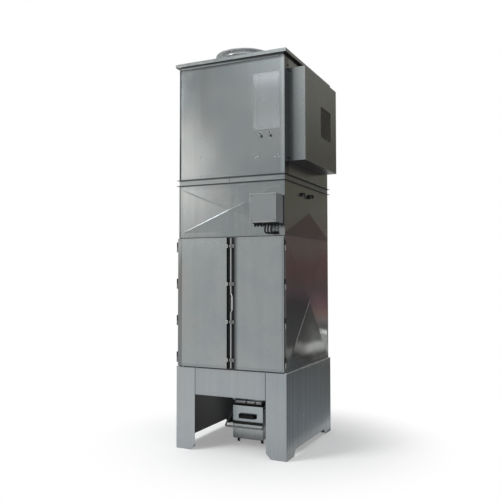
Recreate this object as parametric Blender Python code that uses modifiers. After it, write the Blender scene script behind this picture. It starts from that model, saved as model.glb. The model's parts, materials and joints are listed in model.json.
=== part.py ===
"""Cartridge dust collector: leg base with hopper and rolling dust bin, filter chamber behind two
doors, clean air plenum, fan section with a side enclosure, roof cap and round outlet spigot.
Metres, +Z up, front towards -Y. Lengths are laid out from the middle of the casing's footprint."""

import math

import bmesh
import bpy
from mathutils import Matrix, Vector

# Casing
CASING_WIDTH = 1.000
CASING_DEPTH = 1.116
SHEET = 0.002
SEAT = 0.0003
OVERCUT = 0.010
SUNK = 0.002
BASE_HEIGHT = 0.7035
CHAMBER_HEIGHT = 1.1175
PLENUM_HEIGHT = 0.4540
JOINT_BAND_HEIGHT = 0.0530
FAN_SECTION_HEIGHT = 0.9820
BREAK_MARGIN = 0.040
BREAK_RISE = 0.010

# Base
BASE_PROUD = 0.015
BASE_SHEET = 0.004
LEG_WIDTH = 0.183
LEG_CHAMFER = 0.046
SIDE_FOOT = 0.155
SIDE_NOTCH_HEIGHT = 0.052
SIDE_NOTCH_SLOPE = 0.050
FASCIA_HEIGHT = 0.2275
FASCIA_FOLD = 0.025
FOOT_PLATE = 0.120
FOOT_PLATE_THICKNESS = 0.008
TOP_FRAME_WIDTH = 0.075
TOP_FRAME_PROUD = 0.001

# Hopper
HOPPER_SHEET = 0.002
HOPPER_RIM_WIDTH = 0.030
THROAT_HALF_X = 0.126
THROAT_HALF_Y = 0.200
THROAT_NECK = 0.020
OUTLET_FLANGE_HEIGHT = 0.0145
OUTLET_FLANGE_WIDTH = 0.004
OUTLET_GASKET_HEIGHT = 0.0137
OUTLET_GASKET_LIP = 0.014

# Dust bin
BIN_HALF_X = 0.1455
BIN_HALF_Y = 0.210
BIN_FLOOR_Z = 0.046
BIN_RIM_Z = 0.332
BIN_SHEET = 0.002
BIN_RIM_GAP = 0.0055
BAND_BOTTOM_Z = 0.169
BAND_HEIGHT = 0.026
BAND_THICKNESS = 0.003
HANDLE_WIDTH = 0.172
HANDLE_BOTTOM_Z = 0.226
HANDLE_HEIGHT = 0.036
HANDLE_REACH = 0.036
HANDLE_WALL = 0.010
HANDLE_TAPER = 0.86
CASTOR_RADIUS = 0.018
CASTOR_WIDTH = 0.016
CASTOR_INSET_X = 0.030
CASTOR_INSET_Y = 0.060
DOLLY_THICKNESS = 0.004
DOLLY_INSET = 0.004
FORK_HEIGHT = 0.020
FORK_WIDTH = 0.024
LEVER_TUBE_RADIUS = 0.008
LEVER_HALF_X = 0.178
LEVER_PIVOT_BACK = 0.100
LEVER_PIVOT_Z = 0.300
LEVER_REACH = 0.190
LEVER_DROP = 0.137
LEVER_CORNER = 0.030
LEVER_EYE_RADIUS = 0.014
LEVER_EYE_WIDTH = 0.018
LEVER_ROOT = 0.0085
LEVER_PIN_RADIUS = 0.006
LEVER_BOSS_RADIUS = 0.011
PIN_PLAY = 0.0005

# Doors
DOOR_PROUD = 0.027
DOOR_SHEET = 0.002
DOOR_END_GAP = 0.008
DOOR_SIDE_INSET = 0.002
LEFT_DOOR_EDGE_X = -0.019
RIGHT_DOOR_EDGE_X = 0.051
LEFT_MARGIN = 0.043
RIGHT_MARGIN = 0.014
MARGIN_STEP = 0.004
GASKET_THICKNESS = 0.003
STILE_WIDTH = 0.040
RAIL_WIDTH = 0.040
MULLION_OVERLAP = 0.011
FRAME_SHEET = 0.003
HINGE_COUNT = 4
HINGE_LENGTH = 0.088
HINGE_END = 0.074
HINGE_RADIUS = 0.007
HINGE_OUT = 0.008
HINGE_FORWARD = 0.014
HINGE_PIN_RADIUS = 0.0035
HINGE_STRIP = 0.003
HINGE_STRIP_BACK = 0.014
HINGE_LEAF_BACK = 0.006
HINGE_LUG = 0.006
KNUCKLE_GAP = 0.001

# Locking rod
ROD_RADIUS = 0.0065
ROD_X = 0.020
ROD_FORWARD = 0.024
ROD_END_GAP = 0.006
GUIDE_HEIGHT = 0.029
GUIDE_SLOT = 0.015
GUIDE_WALL = 0.0075
GUIDE_LIP = 0.0045
GUIDE_ROOT = 0.006
GUIDE_MOUTH = 0.030
NOSE_REACH = 0.016
NOSE_HEIGHT = 0.012
NOSE_THICKNESS = 0.010
KEEPER_OVERHANG = 0.015
KEEPER_DEPTH = 0.020
CRANK_OFFSET_X = 0.030
CRANK_OFFSET_Y = 0.016
CRANK_LENGTH = 0.120
CRANK_SLOPE = 0.020
CRANK_BEND = 0.012

# Filter cartridges
TUBE_SHEET_THICKNESS = 0.004
CARTRIDGE_OUTER = 0.1625
CARTRIDGE_INNER = 0.1370
CARTRIDGE_COLLAR = 0.1750
CARTRIDGE_CAP = 0.1660
CARTRIDGE_LENGTH = 0.780
CARTRIDGE_COLLAR_HEIGHT = 0.018
CARTRIDGE_CAP_HEIGHT = 0.026
CARTRIDGE_PITCH_X = 0.470
CARTRIDGE_PITCH_Y = 0.500
PLEATS = 28

# Section joint
LIP_PROUD = 0.018
LIP_THICKNESS = 0.004
JOINT_WALL = 0.003

# Roof and spigots
ROOF_LIP_HEIGHT = 0.029
ROOF_OVER_FRONT = 0.030
ROOF_OVER_SIDE = 0.024
CURB_HEIGHT = 0.018
CURB_INSET = 0.010
TOP_FLANGE = 0.025
SPIGOT_RADIUS = 0.200
SPIGOT_FLANGE_RADIUS = 0.260
SPIGOT_HEIGHT = 0.133
SPIGOT_FLANGE_THICKNESS = 0.006
SPIGOT_DEPTH = 0.450
SPIGOT_WALL = 0.003
SPIGOT_COLLAR = 0.030
SPIGOT_PLAY = 0.001
SPIGOT_SIDES = 48
SPIGOT_X = -0.054
SPIGOT_FROM_FRONT = 0.403
SPIGOT_FOOT_RADIUS = 0.230
INLET_RADIUS = 0.150
INLET_FLANGE_RADIUS = 0.185
INLET_LENGTH = 0.100
INLET_FOOT = 0.030
INLET_ABOVE_BASE = 0.200

# Fan enclosure
ENCLOSURE_FROM_FRONT = 0.102
ENCLOSURE_LENGTH = 0.850
ENCLOSURE_REACH = 0.143
ENCLOSURE_ABOVE_JOINT = 0.118
ENCLOSURE_HEIGHT = 0.782
WINDOW_FROM_FRONT = 0.400
WINDOW_LENGTH = 0.290
WINDOW_FROM_BOTTOM = 0.264
WINDOW_HEIGHT = 0.272
GRILLE_MARGIN = 0.020
GRILLE_ROWS = 8
GRILLE_HOLE = 0.026

# Service plate and its locks
PLATE_FROM_RIGHT = 0.038
PLATE_WIDTH = 0.244
PLATE_ABOVE_JOINT = 0.377
PLATE_HEIGHT = 0.477
PLATE_THICKNESS = 0.003
PLATE_EDGE = 0.001
LOCK_RADIUS = 0.014
LOCK_LENGTH = 0.014
LOCK_DIMPLE = 0.003
LOCK_DIMPLE_RADIUS = 0.008
LOCK_EDGE = 0.004
LOCK_DROP = 0.033
LOCK_FROM_PLATE = 0.068
LOCK_PITCH = 0.083

# Control box and its cables
BOX_FROM_RIGHT = 0.014
BOX_WIDTH = 0.230
BOX_ABOVE_CHAMBER = 0.098
BOX_HEIGHT = 0.234
BOX_REACH = 0.155
BOX_LID = 0.062
BOX_STANDOFF = 0.010
BOX_RAIL = 0.020
BOX_EDGE = 0.003
GLAND_PLATE_THICKNESS = 0.006
GLAND_PLATE_DEPTH = 0.060
GLAND_FORWARD = 0.080
GLAND_LENGTH = 0.022
GLAND_OFFSETS = ((0.014, 0.012), (0.048, 0.012), (0.076, 0.007), (0.106, 0.009),
                 (0.132, 0.009), (0.159, 0.009), (0.186, 0.008), (0.212, 0.009))
CABLE_GLANDS = (3, 4, 5)
CABLE_RADIUS = 0.004
WALL_GLAND_FROM_RIGHT = 0.081
WALL_GLAND_ABOVE = 0.021
WALL_GLAND_SIZE = (0.056, 0.014, 0.022)
WALL_GLAND_PITCH = 0.016

# Hose fittings on the plenum side
FITTING_RADIUS = 0.018
FITTING_COLLAR_RADIUS = 0.022
FITTING_COLLAR = 0.010
FITTING_EDGE = 0.005
FITTING_BELOW_TOP = 0.080
FITTING_PLACES = ((0.390, 0.045), (0.580, 0.055))

# Worked out from the sizes above
FRONT_Y = -CASING_DEPTH / 2
REAR_Y = CASING_DEPTH / 2
HALF_X = CASING_WIDTH / 2
CHAMBER_TOP = BASE_HEIGHT + CHAMBER_HEIGHT
JOINT_BOTTOM = CHAMBER_TOP + PLENUM_HEIGHT
JOINT_TOP = JOINT_BOTTOM + JOINT_BAND_HEIGHT
CASING_TOP = JOINT_TOP + FAN_SECTION_HEIGHT
ROOF_UNDERSIDE = CASING_TOP + CURB_HEIGHT
ROOF_TOP = ROOF_UNDERSIDE + ROOF_LIP_HEIGHT
BASE_HALF_X = HALF_X + BASE_PROUD
BASE_HALF_Y = CASING_DEPTH / 2 + BASE_PROUD
BASE_SHEET_TOP = BASE_HEIGHT - BASE_SHEET
THROAT_BOTTOM = BIN_RIM_Z + BIN_RIM_GAP + OUTLET_GASKET_HEIGHT + SEAT
DOOR_BACK_Y = FRONT_Y - GASKET_THICKNESS - SEAT
DOOR_FRONT_Y = FRONT_Y - DOOR_PROUD
DOOR_BOTTOM = BASE_HEIGHT + DOOR_END_GAP
DOOR_TOP = CHAMBER_TOP - DOOR_END_GAP
HINGE_X = HALF_X + HINGE_OUT
HINGE_Y = FRONT_Y - HINGE_FORWARD
ROD_Y = FRONT_Y - ROD_FORWARD
BIN_FRONT_Y = -BIN_HALF_Y
LEVER_PIVOT_Y = BIN_FRONT_Y + LEVER_PIVOT_BACK
ENCLOSURE_X = HALF_X + ENCLOSURE_REACH
ENCLOSURE_BOTTOM = JOINT_TOP + ENCLOSURE_ABOVE_JOINT
PLATE_LEFT_X = HALF_X - PLATE_FROM_RIGHT - PLATE_WIDTH
PLATE_BOTTOM_Z = JOINT_TOP + PLATE_ABOVE_JOINT
BOX_LEFT_X = HALF_X - BOX_FROM_RIGHT - BOX_WIDTH
BOX_BOTTOM_Z = CHAMBER_TOP + BOX_ABOVE_CHAMBER
WALL_GLAND_X = HALF_X - WALL_GLAND_FROM_RIGHT

# The origin is under the middle of the whole product, enclosure, control box and inlet included.
ORIGIN_X = (ENCLOSURE_X - HALF_X - ROOF_OVER_SIDE) / 2
ORIGIN_Y = (REAR_Y + INLET_LENGTH + FRONT_Y - BOX_REACH) / 2

# Places for flat outlines: drawn in (Y, Z) and extruded along X, or drawn in (X, Z) and extruded along Y.
ALONG_X = Matrix(((0, 0, 1, 0), (1, 0, 0, 0), (0, 1, 0, 0), (0, 0, 0, 1)))
ALONG_Y = Matrix(((1, 0, 0, 0), (0, 0, 1, 0), (0, 1, 0, 0), (0, 0, 0, 1)))

COLLECTION = "cartridge_dust_collector"
CUTTERS = "cutters"

FINISHES = {
    "galvanised_sheet": ((0.42, 0.44, 0.45), 0.38, 0.9),
    "brushed_sheet": ((0.46, 0.49, 0.51), 0.32, 0.9),
    "dark_sheet": ((0.16, 0.16, 0.15), 0.45, 0.8),
    "bright_steel": ((0.62, 0.64, 0.66), 0.25, 1.0),
    "bar_steel": ((0.22, 0.23, 0.24), 0.35, 0.8),
    "black_rubber": ((0.02, 0.02, 0.022), 0.7, 0.0),
    "black_plastic": ((0.025, 0.025, 0.028), 0.45, 0.0),
    "box_enamel": ((0.50, 0.51, 0.52), 0.5, 0.0),
    "filter_medium": ((0.72, 0.72, 0.68), 0.9, 0.0),
}


def clear_scene():
    for obj in list(bpy.data.objects):
        bpy.data.objects.remove(obj, do_unlink=True)
    for name in (COLLECTION, CUTTERS):
        collection = bpy.data.collections.get(name)
        if collection:
            bpy.data.collections.remove(collection)


def new_collection(name):
    collection = bpy.data.collections.new(name)
    bpy.context.scene.collection.children.link(collection)
    return collection


def finish_material(name, finish):
    colour, roughness, metallic = FINISHES[finish]
    material = bpy.data.materials.new(name)
    material.use_nodes = True
    shader = material.node_tree.nodes["Principled BSDF"]
    shader.inputs["Base Color"].default_value = (*colour, 1.0)
    shader.inputs["Roughness"].default_value = roughness
    shader.inputs["Metallic"].default_value = metallic
    return material


def new_carrier(name, at, parent=None):
    """An empty that carries the pieces of one moving group, on the group's joint axis."""
    carrier = bpy.data.objects.new(name, None)
    carrier.empty_display_size = 0.05
    bpy.data.collections[COLLECTION].objects.link(carrier)
    if parent is None:
        carrier.location = Vector(at) - Vector((ORIGIN_X, ORIGIN_Y, 0.0))
    else:
        carrier.parent = parent
        carrier.location = Vector(at) - Vector(parent["at"])
    carrier["at"] = tuple(at)
    return carrier


def add_piece(name, mesh, finish, carrier):
    """Links a mesh laid out in casing coordinates to its carrier."""
    mesh.transform(Matrix.Translation(-Vector(carrier["at"])))
    mesh.name = name
    mesh.materials.clear()
    mesh.materials.append(finish_material(name + "_finish", finish))
    piece = bpy.data.objects.new(name, mesh)
    bpy.data.collections[COLLECTION].objects.link(piece)
    piece.parent = carrier
    return piece


def mesh_from(bm):
    bmesh.ops.remove_doubles(bm, verts=bm.verts, dist=1e-6)
    mesh = bpy.data.meshes.new("shape")
    bm.to_mesh(mesh)
    bm.free()
    return mesh


def block_mesh(*blocks):
    """One mesh of boxes, each given by its low and its high corner."""
    bm = bmesh.new()
    for low, high in blocks:
        low, high = Vector(low), Vector(high)
        size = high - low
        place = Matrix.Translation((low + high) / 2) @ Matrix.Diagonal((*size, 1.0))
        bmesh.ops.create_cube(bm, size=1.0, matrix=place)
    return mesh_from(bm)


def turn_to(axis):
    return Vector((0, 0, 1)).rotation_difference(Vector(axis)).to_matrix().to_4x4()


def rod_mesh(*rods, sides=16):
    """One mesh of round bars, each given by its start, its end and its radius."""
    bm = bmesh.new()
    for start, end, radius in rods:
        start, end = Vector(start), Vector(end)
        place = Matrix.Translation((start + end) / 2) @ turn_to(end - start)
        bmesh.ops.create_cone(bm, cap_ends=True, segments=sides, radius1=radius, radius2=radius,
                              depth=(end - start).length, matrix=place)
    return mesh_from(bm)


def rect_ring(half_x, half_y, z, middle=(0.0, 0.0)):
    """Corners of a level rectangle, anticlockwise from above, starting at the front left."""
    x, y = middle
    return [Vector((x - half_x, y - half_y, z)), Vector((x + half_x, y - half_y, z)),
            Vector((x + half_x, y + half_y, z)), Vector((x - half_x, y + half_y, z))]


def loft_mesh(rings, cap_top=False, cap_bottom=False, closed=False):
    """Skins rings of equal count from top to bottom; a closed loft returns to its first ring."""
    bm = bmesh.new()
    rows = [[bm.verts.new(point) for point in ring] for ring in rings]
    pairs = list(zip(rows, rows[1:]))
    if closed:
        pairs.append((rows[-1], rows[0]))
    count = len(rows[0])
    for upper, lower in pairs:
        for k in range(count):
            n = (k + 1) % count
            bm.faces.new((upper[k], lower[k], lower[n], upper[n]))
    if cap_top:
        bm.faces.new(rows[0])
    if cap_bottom:
        bm.faces.new(list(reversed(rows[-1])))
    mesh = bpy.data.meshes.new("shape")
    bm.to_mesh(mesh)
    bm.free()
    return mesh


def outline_mesh(points, depth, place):
    """A flat outline as a filled 2D curve, extruded to its depth, centred on its plane."""
    curve = bpy.data.curves.new("outline", "CURVE")
    curve.dimensions = "2D"
    curve.fill_mode = "BOTH"
    curve.extrude = depth / 2
    spline = curve.splines.new("POLY")
    spline.points.add(len(points) - 1)
    for target, (x, y) in zip(spline.points, points):
        target.co = (x, y, 0.0, 1.0)
    spline.use_cyclic_u = True
    return curve_to_mesh(curve, place)


def curve_to_mesh(curve, place=None):
    """Turns a curve into a welded mesh and drops the curve."""
    holder = bpy.data.objects.new("curve", curve)
    bpy.context.scene.collection.objects.link(holder)
    bpy.context.view_layer.update()
    evaluated = holder.evaluated_get(bpy.context.evaluated_depsgraph_get())
    mesh = bpy.data.meshes.new_from_object(evaluated)
    bpy.data.objects.remove(holder, do_unlink=True)
    bpy.data.curves.remove(curve)
    bm = bmesh.new()
    bm.from_mesh(mesh)
    bmesh.ops.remove_doubles(bm, verts=bm.verts, dist=1e-5)
    bmesh.ops.recalc_face_normals(bm, faces=bm.faces)
    bm.to_mesh(mesh)
    bm.free()
    if place is not None:
        mesh.transform(place)
        if place.determinant() < 0:
            mesh.flip_normals()
    return mesh


def tube_mesh(points, radius, resolution=2):
    """A round tube with filled ends along the given points."""
    curve = bpy.data.curves.new("tube", "CURVE")
    curve.dimensions = "3D"
    curve.bevel_depth = radius
    curve.bevel_resolution = resolution
    curve.use_fill_caps = True
    spline = curve.splines.new("POLY")
    spline.points.add(len(points) - 1)
    for target, point in zip(spline.points, points):
        target.co = (*point, 1.0)
    return curve_to_mesh(curve)


def rounded_path(corners, radius, steps=5):
    """A path through the corners, with an arc of the radius at each inner corner."""
    path = [Vector(corners[0])]
    for before, corner, after in zip(corners, corners[1:], corners[2:]):
        before, corner, after = Vector(before), Vector(corner), Vector(after)
        to_before = (before - corner).normalized()
        to_after = (after - corner).normalized()
        half = to_before.angle(to_after) / 2
        centre = corner + (to_before + to_after).normalized() * radius / math.sin(half)
        start = corner + to_before * radius / math.tan(half) - centre
        end = corner + to_after * radius / math.tan(half) - centre
        sweep = start.angle(end)
        axis = start.cross(end).normalized()
        for k in range(steps + 1):
            path.append(centre + Matrix.Rotation(sweep * k / steps, 3, axis) @ start)
    path.append(Vector(corners[-1]))
    return path


def smooth_path(points, steps):
    """A smooth curve through all the points, sampled evenly in its parameter."""
    points = [Vector(p) for p in points]
    padded = [2 * points[0] - points[1], *points, 2 * points[-1] - points[-2]]
    path = []
    for a, b, c, d in zip(padded, padded[1:], padded[2:], padded[3:]):
        for k in range(steps):
            t = k / steps
            path.append(0.5 * (2 * b + (c - a) * t + (2 * a - 5 * b + 4 * c - d) * t * t
                               + (3 * b - a - 3 * c + d) * t ** 3))
    path.append(points[-1])
    return path


def turned_piece(name, profile, at, axis, finish, carrier, steps=48, closed=False):
    """Turns a profile of (radius, height) about an axis with a Screw modifier."""
    mesh = bpy.data.meshes.new("profile")
    edges = [(k, k + 1) for k in range(len(profile) - 1)]
    if closed:
        edges.append((len(profile) - 1, 0))
    mesh.from_pydata([(r, 0.0, z) for r, z in profile], edges, [])
    piece = add_piece(name, mesh, finish, carrier)
    mesh.transform(Matrix.Translation(Vector(carrier["at"])))
    piece.location = Vector(at) - Vector(carrier["at"])
    piece.rotation_mode = "QUATERNION"
    piece.rotation_quaternion = Vector((0, 0, 1)).rotation_difference(Vector(axis))
    screw = piece.modifiers.new("turn", "SCREW")
    screw.axis = "Z"
    screw.angle = math.tau
    screw.steps = steps
    screw.render_steps = steps
    screw.use_merge_vertices = True
    screw.merge_threshold = 0.0001
    screw.use_smooth_shade = True
    return piece


def thicken(piece, thickness):
    """Gives an outward-facing skin its sheet thickness on the inner side."""
    solidify = piece.modifiers.new("sheet", "SOLIDIFY")
    solidify.thickness = thickness
    solidify.offset = -1.0
    solidify.use_even_offset = True
    return piece


def round_edges(piece, width, segments=2):
    bevel = piece.modifiers.new("edges", "BEVEL")
    bevel.width = width
    bevel.segments = segments
    bevel.limit_method = "ANGLE"
    return piece


def combine(piece, mesh, operation):
    """Adds or cuts a mesh laid out in casing coordinates, kept as a hidden helper."""
    helper = bpy.data.objects.new(piece.name + "_" + operation.lower(), mesh)
    bpy.data.collections[CUTTERS].objects.link(helper)
    mesh.transform(Matrix.Translation(Vector((-ORIGIN_X, -ORIGIN_Y, 0.0))))
    helper.hide_render = True
    helper.hide_set(True)
    helper.display_type = "WIRE"
    boolean = piece.modifiers.new(operation.lower(), "BOOLEAN")
    boolean.operation = operation
    boolean.solver = "EXACT"
    boolean.object = helper
    return piece


def cut(piece, mesh):
    return combine(piece, mesh, "DIFFERENCE")


def fuse(piece, mesh):
    return combine(piece, mesh, "UNION")


def break_height(u, v, half_u, half_v):
    """How far a cross-broken sheet stands out of its plane at a place from its middle."""
    share = max(abs(u) / (half_u - BREAK_MARGIN), abs(v) / (half_v - BREAK_MARGIN))
    return BREAK_RISE * max(0.0, 1.0 - share)


def cross_broken_panel(name, centre, across, outward, half_u, half_v, carrier):
    """A sheet with a flat margin and two diagonal folds that meet proud of its middle."""
    across, outward, up = Vector(across), Vector(outward), Vector((0, 0, 1))
    centre = Vector(centre)

    def skin(bm, back):
        def point(u, v, rise):
            return bm.verts.new(centre + across * u + up * v + outward * (rise - back))
        rows = []
        for inset in (0.0, BREAK_MARGIN):
            hu, hv = half_u - inset, half_v - inset
            rows.append([point(-hu, -hv, 0), point(hu, -hv, 0), point(hu, hv, 0), point(-hu, hv, 0)])
        return rows, point(0.0, 0.0, BREAK_RISE)

    bm = bmesh.new()
    outer, outer_tip = skin(bm, 0.0)
    inner, inner_tip = skin(bm, SHEET)
    for rows, tip in ((outer, outer_tip), (inner, inner_tip)):
        for k in range(4):
            n = (k + 1) % 4
            bm.faces.new((rows[0][k], rows[0][n], rows[1][n], rows[1][k]))
            bm.faces.new((rows[1][k], rows[1][n], tip))
    for k in range(4):
        n = (k + 1) % 4
        bm.faces.new((outer[0][n], outer[0][k], inner[0][k], inner[0][n]))
    bmesh.ops.recalc_face_normals(bm, faces=bm.faces)
    mesh = bpy.data.meshes.new("shape")
    bm.to_mesh(mesh)
    bm.free()
    return add_piece(name, mesh, "galvanised_sheet", carrier)


def make_base(unit):
    """Folded side cheeks on four feet, front and rear fascias, and the frame on top."""
    for side, name in ((-1, "left"), (1, "right")):
        outer, inner = side * BASE_HALF_X, side * (BASE_HALF_X - BASE_SHEET)
        leg_edge = side * (BASE_HALF_X - LEG_WIDTH)
        plan = [(outer, -BASE_HALF_Y), (outer, BASE_HALF_Y), (leg_edge, BASE_HALF_Y),
                (leg_edge, BASE_HALF_Y - BASE_SHEET), (inner, BASE_HALF_Y - BASE_SHEET),
                (inner, BASE_SHEET - BASE_HALF_Y), (leg_edge, BASE_SHEET - BASE_HALF_Y),
                (leg_edge, -BASE_HALF_Y)]
        height = BASE_SHEET_TOP - SEAT
        mesh = outline_mesh(plan, height, Matrix.Translation((0, 0, height / 2)))
        cheek = add_piece("base_side_" + name, mesh, "brushed_sheet", unit)
        feet = []
        for end in (-1, 1):
            low_y = end * (BASE_HALF_Y - BASE_SHEET / 2)
            high_y = end * (BASE_HALF_Y - FOOT_PLATE)
            low_x = side * (BASE_HALF_X - BASE_SHEET / 2)
            high_x = side * (BASE_HALF_X - FOOT_PLATE)
            feet.append(((min(low_x, high_x), min(low_y, high_y), 0.0),
                         (max(low_x, high_x), max(low_y, high_y), FOOT_PLATE_THICKNESS)))
        fuse(cheek, block_mesh(*feet))
        foot_y = BASE_HALF_Y - SIDE_FOOT
        notch = [(-foot_y, -OVERCUT), (-foot_y, 0.0), (-foot_y + SIDE_NOTCH_SLOPE, SIDE_NOTCH_HEIGHT),
                 (foot_y - SIDE_NOTCH_SLOPE, SIDE_NOTCH_HEIGHT), (foot_y, 0.0), (foot_y, -OVERCUT)]
        middle = Matrix.Translation((side * (BASE_HALF_X - BASE_SHEET / 2), 0, 0))
        cut(cheek, outline_mesh(notch, BASE_SHEET + 2 * OVERCUT, middle @ ALONG_X))
        inward = leg_edge - side * OVERCUT
        outward = leg_edge + side * LEG_CHAMFER
        chamfer = [(inward, -OVERCUT), (outward, -OVERCUT), (outward, 0.0), (leg_edge, LEG_CHAMFER),
                   (inward, LEG_CHAMFER)]
        cut(cheek, outline_mesh(chamfer, 2 * (BASE_HALF_Y + OVERCUT), ALONG_Y))

    half = BASE_HALF_X - LEG_WIDTH - SEAT
    top = BASE_SHEET_TOP - SEAT
    bottom = BASE_SHEET_TOP - FASCIA_HEIGHT
    for end, name in ((-1, "front"), (1, "rear")):
        face = end * BASE_HALF_Y
        back = end * (BASE_HALF_Y - BASE_SHEET)
        fold = end * (BASE_HALF_Y - FASCIA_FOLD)
        profile = [(face, top), (face, bottom), (fold, bottom), (fold, bottom + BASE_SHEET),
                   (back, bottom + BASE_SHEET), (back, top)]
        mesh = outline_mesh(profile, 2 * half, ALONG_X)
        add_piece("base_" + name + "_fascia", mesh, "brushed_sheet", unit)

    outer_x, outer_y = BASE_HALF_X + TOP_FRAME_PROUD, BASE_HALF_Y + TOP_FRAME_PROUD
    inner_x, inner_y = BASE_HALF_X - TOP_FRAME_WIDTH, BASE_HALF_Y - TOP_FRAME_WIDTH
    rings = [rect_ring(inner_x, inner_y, BASE_HEIGHT), rect_ring(outer_x, outer_y, BASE_HEIGHT),
             rect_ring(outer_x, outer_y, BASE_SHEET_TOP), rect_ring(inner_x, inner_y, BASE_SHEET_TOP)]
    add_piece("base_top_frame", loft_mesh(rings, closed=True), "brushed_sheet", unit)


def make_hopper(unit):
    """Pyramid shell that hangs under the top frame, with its flange and gasket over the bin."""
    rim = BASE_SHEET_TOP - SEAT
    top_x = BASE_HALF_X - TOP_FRAME_WIDTH
    top_y = BASE_HALF_Y - TOP_FRAME_WIDTH
    neck_top = THROAT_BOTTOM + THROAT_NECK
    rim_x, rim_y = top_x + HOPPER_RIM_WIDTH, top_y + HOPPER_RIM_WIDTH
    throat_x, throat_y = THROAT_HALF_X - HOPPER_SHEET, THROAT_HALF_Y - HOPPER_SHEET
    mouth_x, mouth_y = top_x - 2 * HOPPER_SHEET, top_y - 2 * HOPPER_SHEET
    rings = [rect_ring(mouth_x, mouth_y, rim), rect_ring(rim_x, rim_y, rim),
             rect_ring(rim_x, rim_y, rim - HOPPER_SHEET), rect_ring(top_x, top_y, rim - HOPPER_SHEET),
             rect_ring(THROAT_HALF_X, THROAT_HALF_Y, neck_top),
             rect_ring(THROAT_HALF_X, THROAT_HALF_Y, THROAT_BOTTOM),
             rect_ring(throat_x, throat_y, THROAT_BOTTOM), rect_ring(throat_x, throat_y, neck_top),
             rect_ring(mouth_x, mouth_y, rim - HOPPER_SHEET)]
    add_piece("hopper", loft_mesh(rings, closed=True), "galvanised_sheet", unit)

    inner_x, inner_y = THROAT_HALF_X + SEAT, THROAT_HALF_Y + SEAT
    outer_x, outer_y = inner_x + OUTLET_FLANGE_WIDTH, inner_y + OUTLET_FLANGE_WIDTH
    low, high = THROAT_BOTTOM, THROAT_BOTTOM + OUTLET_FLANGE_HEIGHT
    rings = [rect_ring(inner_x, inner_y, high), rect_ring(outer_x, outer_y, high),
             rect_ring(outer_x, outer_y, low), rect_ring(inner_x, inner_y, low)]
    add_piece("hopper_outlet_flange", loft_mesh(rings, closed=True), "bright_steel", unit)

    inner_x, inner_y = THROAT_HALF_X - OUTLET_GASKET_LIP, THROAT_HALF_Y - OUTLET_GASKET_LIP
    high = THROAT_BOTTOM - SEAT
    low = high - OUTLET_GASKET_HEIGHT
    rings = [rect_ring(inner_x, inner_y, high), rect_ring(BIN_HALF_X, BIN_HALF_Y, high),
             rect_ring(BIN_HALF_X, BIN_HALF_Y, low), rect_ring(inner_x, inner_y, low)]
    add_piece("outlet_gasket", loft_mesh(rings, closed=True), "black_rubber", unit)


def make_filter_chamber(unit):
    """Side and rear sheets, the door frame and its gasket, the tube sheet and the cartridges."""
    low, high = BASE_HEIGHT + SEAT, CHAMBER_TOP - SEAT
    half_v = (high - low) / 2
    front = FRONT_Y + FRAME_SHEET + SEAT
    rear = REAR_Y - SHEET - SEAT
    for side, name in ((-1, "left"), (1, "right")):
        centre = (side * HALF_X, (front + rear) / 2, low + half_v)
        cross_broken_panel("filter_side_" + name, centre, (0, 1, 0), (side, 0, 0),
                           (rear - front) / 2, half_v, unit)

    mesh = block_mesh(((-HALF_X, REAR_Y - SHEET, low), (HALF_X, REAR_Y, high)))
    rear_panel = add_piece("filter_rear_panel", mesh, "galvanised_sheet", unit)
    inlet_z = BASE_HEIGHT + INLET_ABOVE_BASE
    near = (0, REAR_Y - SHEET - OVERCUT, inlet_z)
    far = (0, REAR_Y + OVERCUT, inlet_z)
    cut(rear_panel, rod_mesh((near, far, INLET_RADIUS), sides=40))

    mullion = (LEFT_DOOR_EDGE_X - MULLION_OVERLAP, RIGHT_DOOR_EDGE_X + MULLION_OVERLAP)
    bays = ((STILE_WIDTH - HALF_X, mullion[0]), (mullion[1], HALF_X - STILE_WIDTH))
    holes = [((a, FRONT_Y - OVERCUT, low + RAIL_WIDTH), (b, FRONT_Y + OVERCUT, high - RAIL_WIDTH))
             for a, b in bays]
    mesh = block_mesh(((-HALF_X, FRONT_Y, low), (HALF_X, FRONT_Y + FRAME_SHEET, high)))
    cut(add_piece("door_frame", mesh, "galvanised_sheet", unit), block_mesh(*holes))
    inset = DOOR_SIDE_INSET
    mesh = block_mesh(((inset - HALF_X, FRONT_Y - GASKET_THICKNESS, DOOR_BOTTOM),
                       (HALF_X - inset, FRONT_Y - SEAT, DOOR_TOP)))
    cut(add_piece("door_gasket", mesh, "black_rubber", unit), block_mesh(*holes))

    sheet_x = HALF_X - SHEET - SEAT
    sheet_bottom = high - TUBE_SHEET_THICKNESS
    mesh = block_mesh(((-sheet_x, front + SEAT, sheet_bottom), (sheet_x, rear - SEAT, high)))
    add_piece("tube_sheet", mesh, "galvanised_sheet", unit)
    places = [(x * CARTRIDGE_PITCH_X / 2, y * CARTRIDGE_PITCH_Y / 2) for y in (-1, 1) for x in (-1, 1)]
    names = ("front_left", "front_right", "rear_left", "rear_right")
    for name, place in zip(names, places):
        add_piece("cartridge_" + name, cartridge_mesh(place, sheet_bottom - SEAT), "filter_medium", unit)


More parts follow.
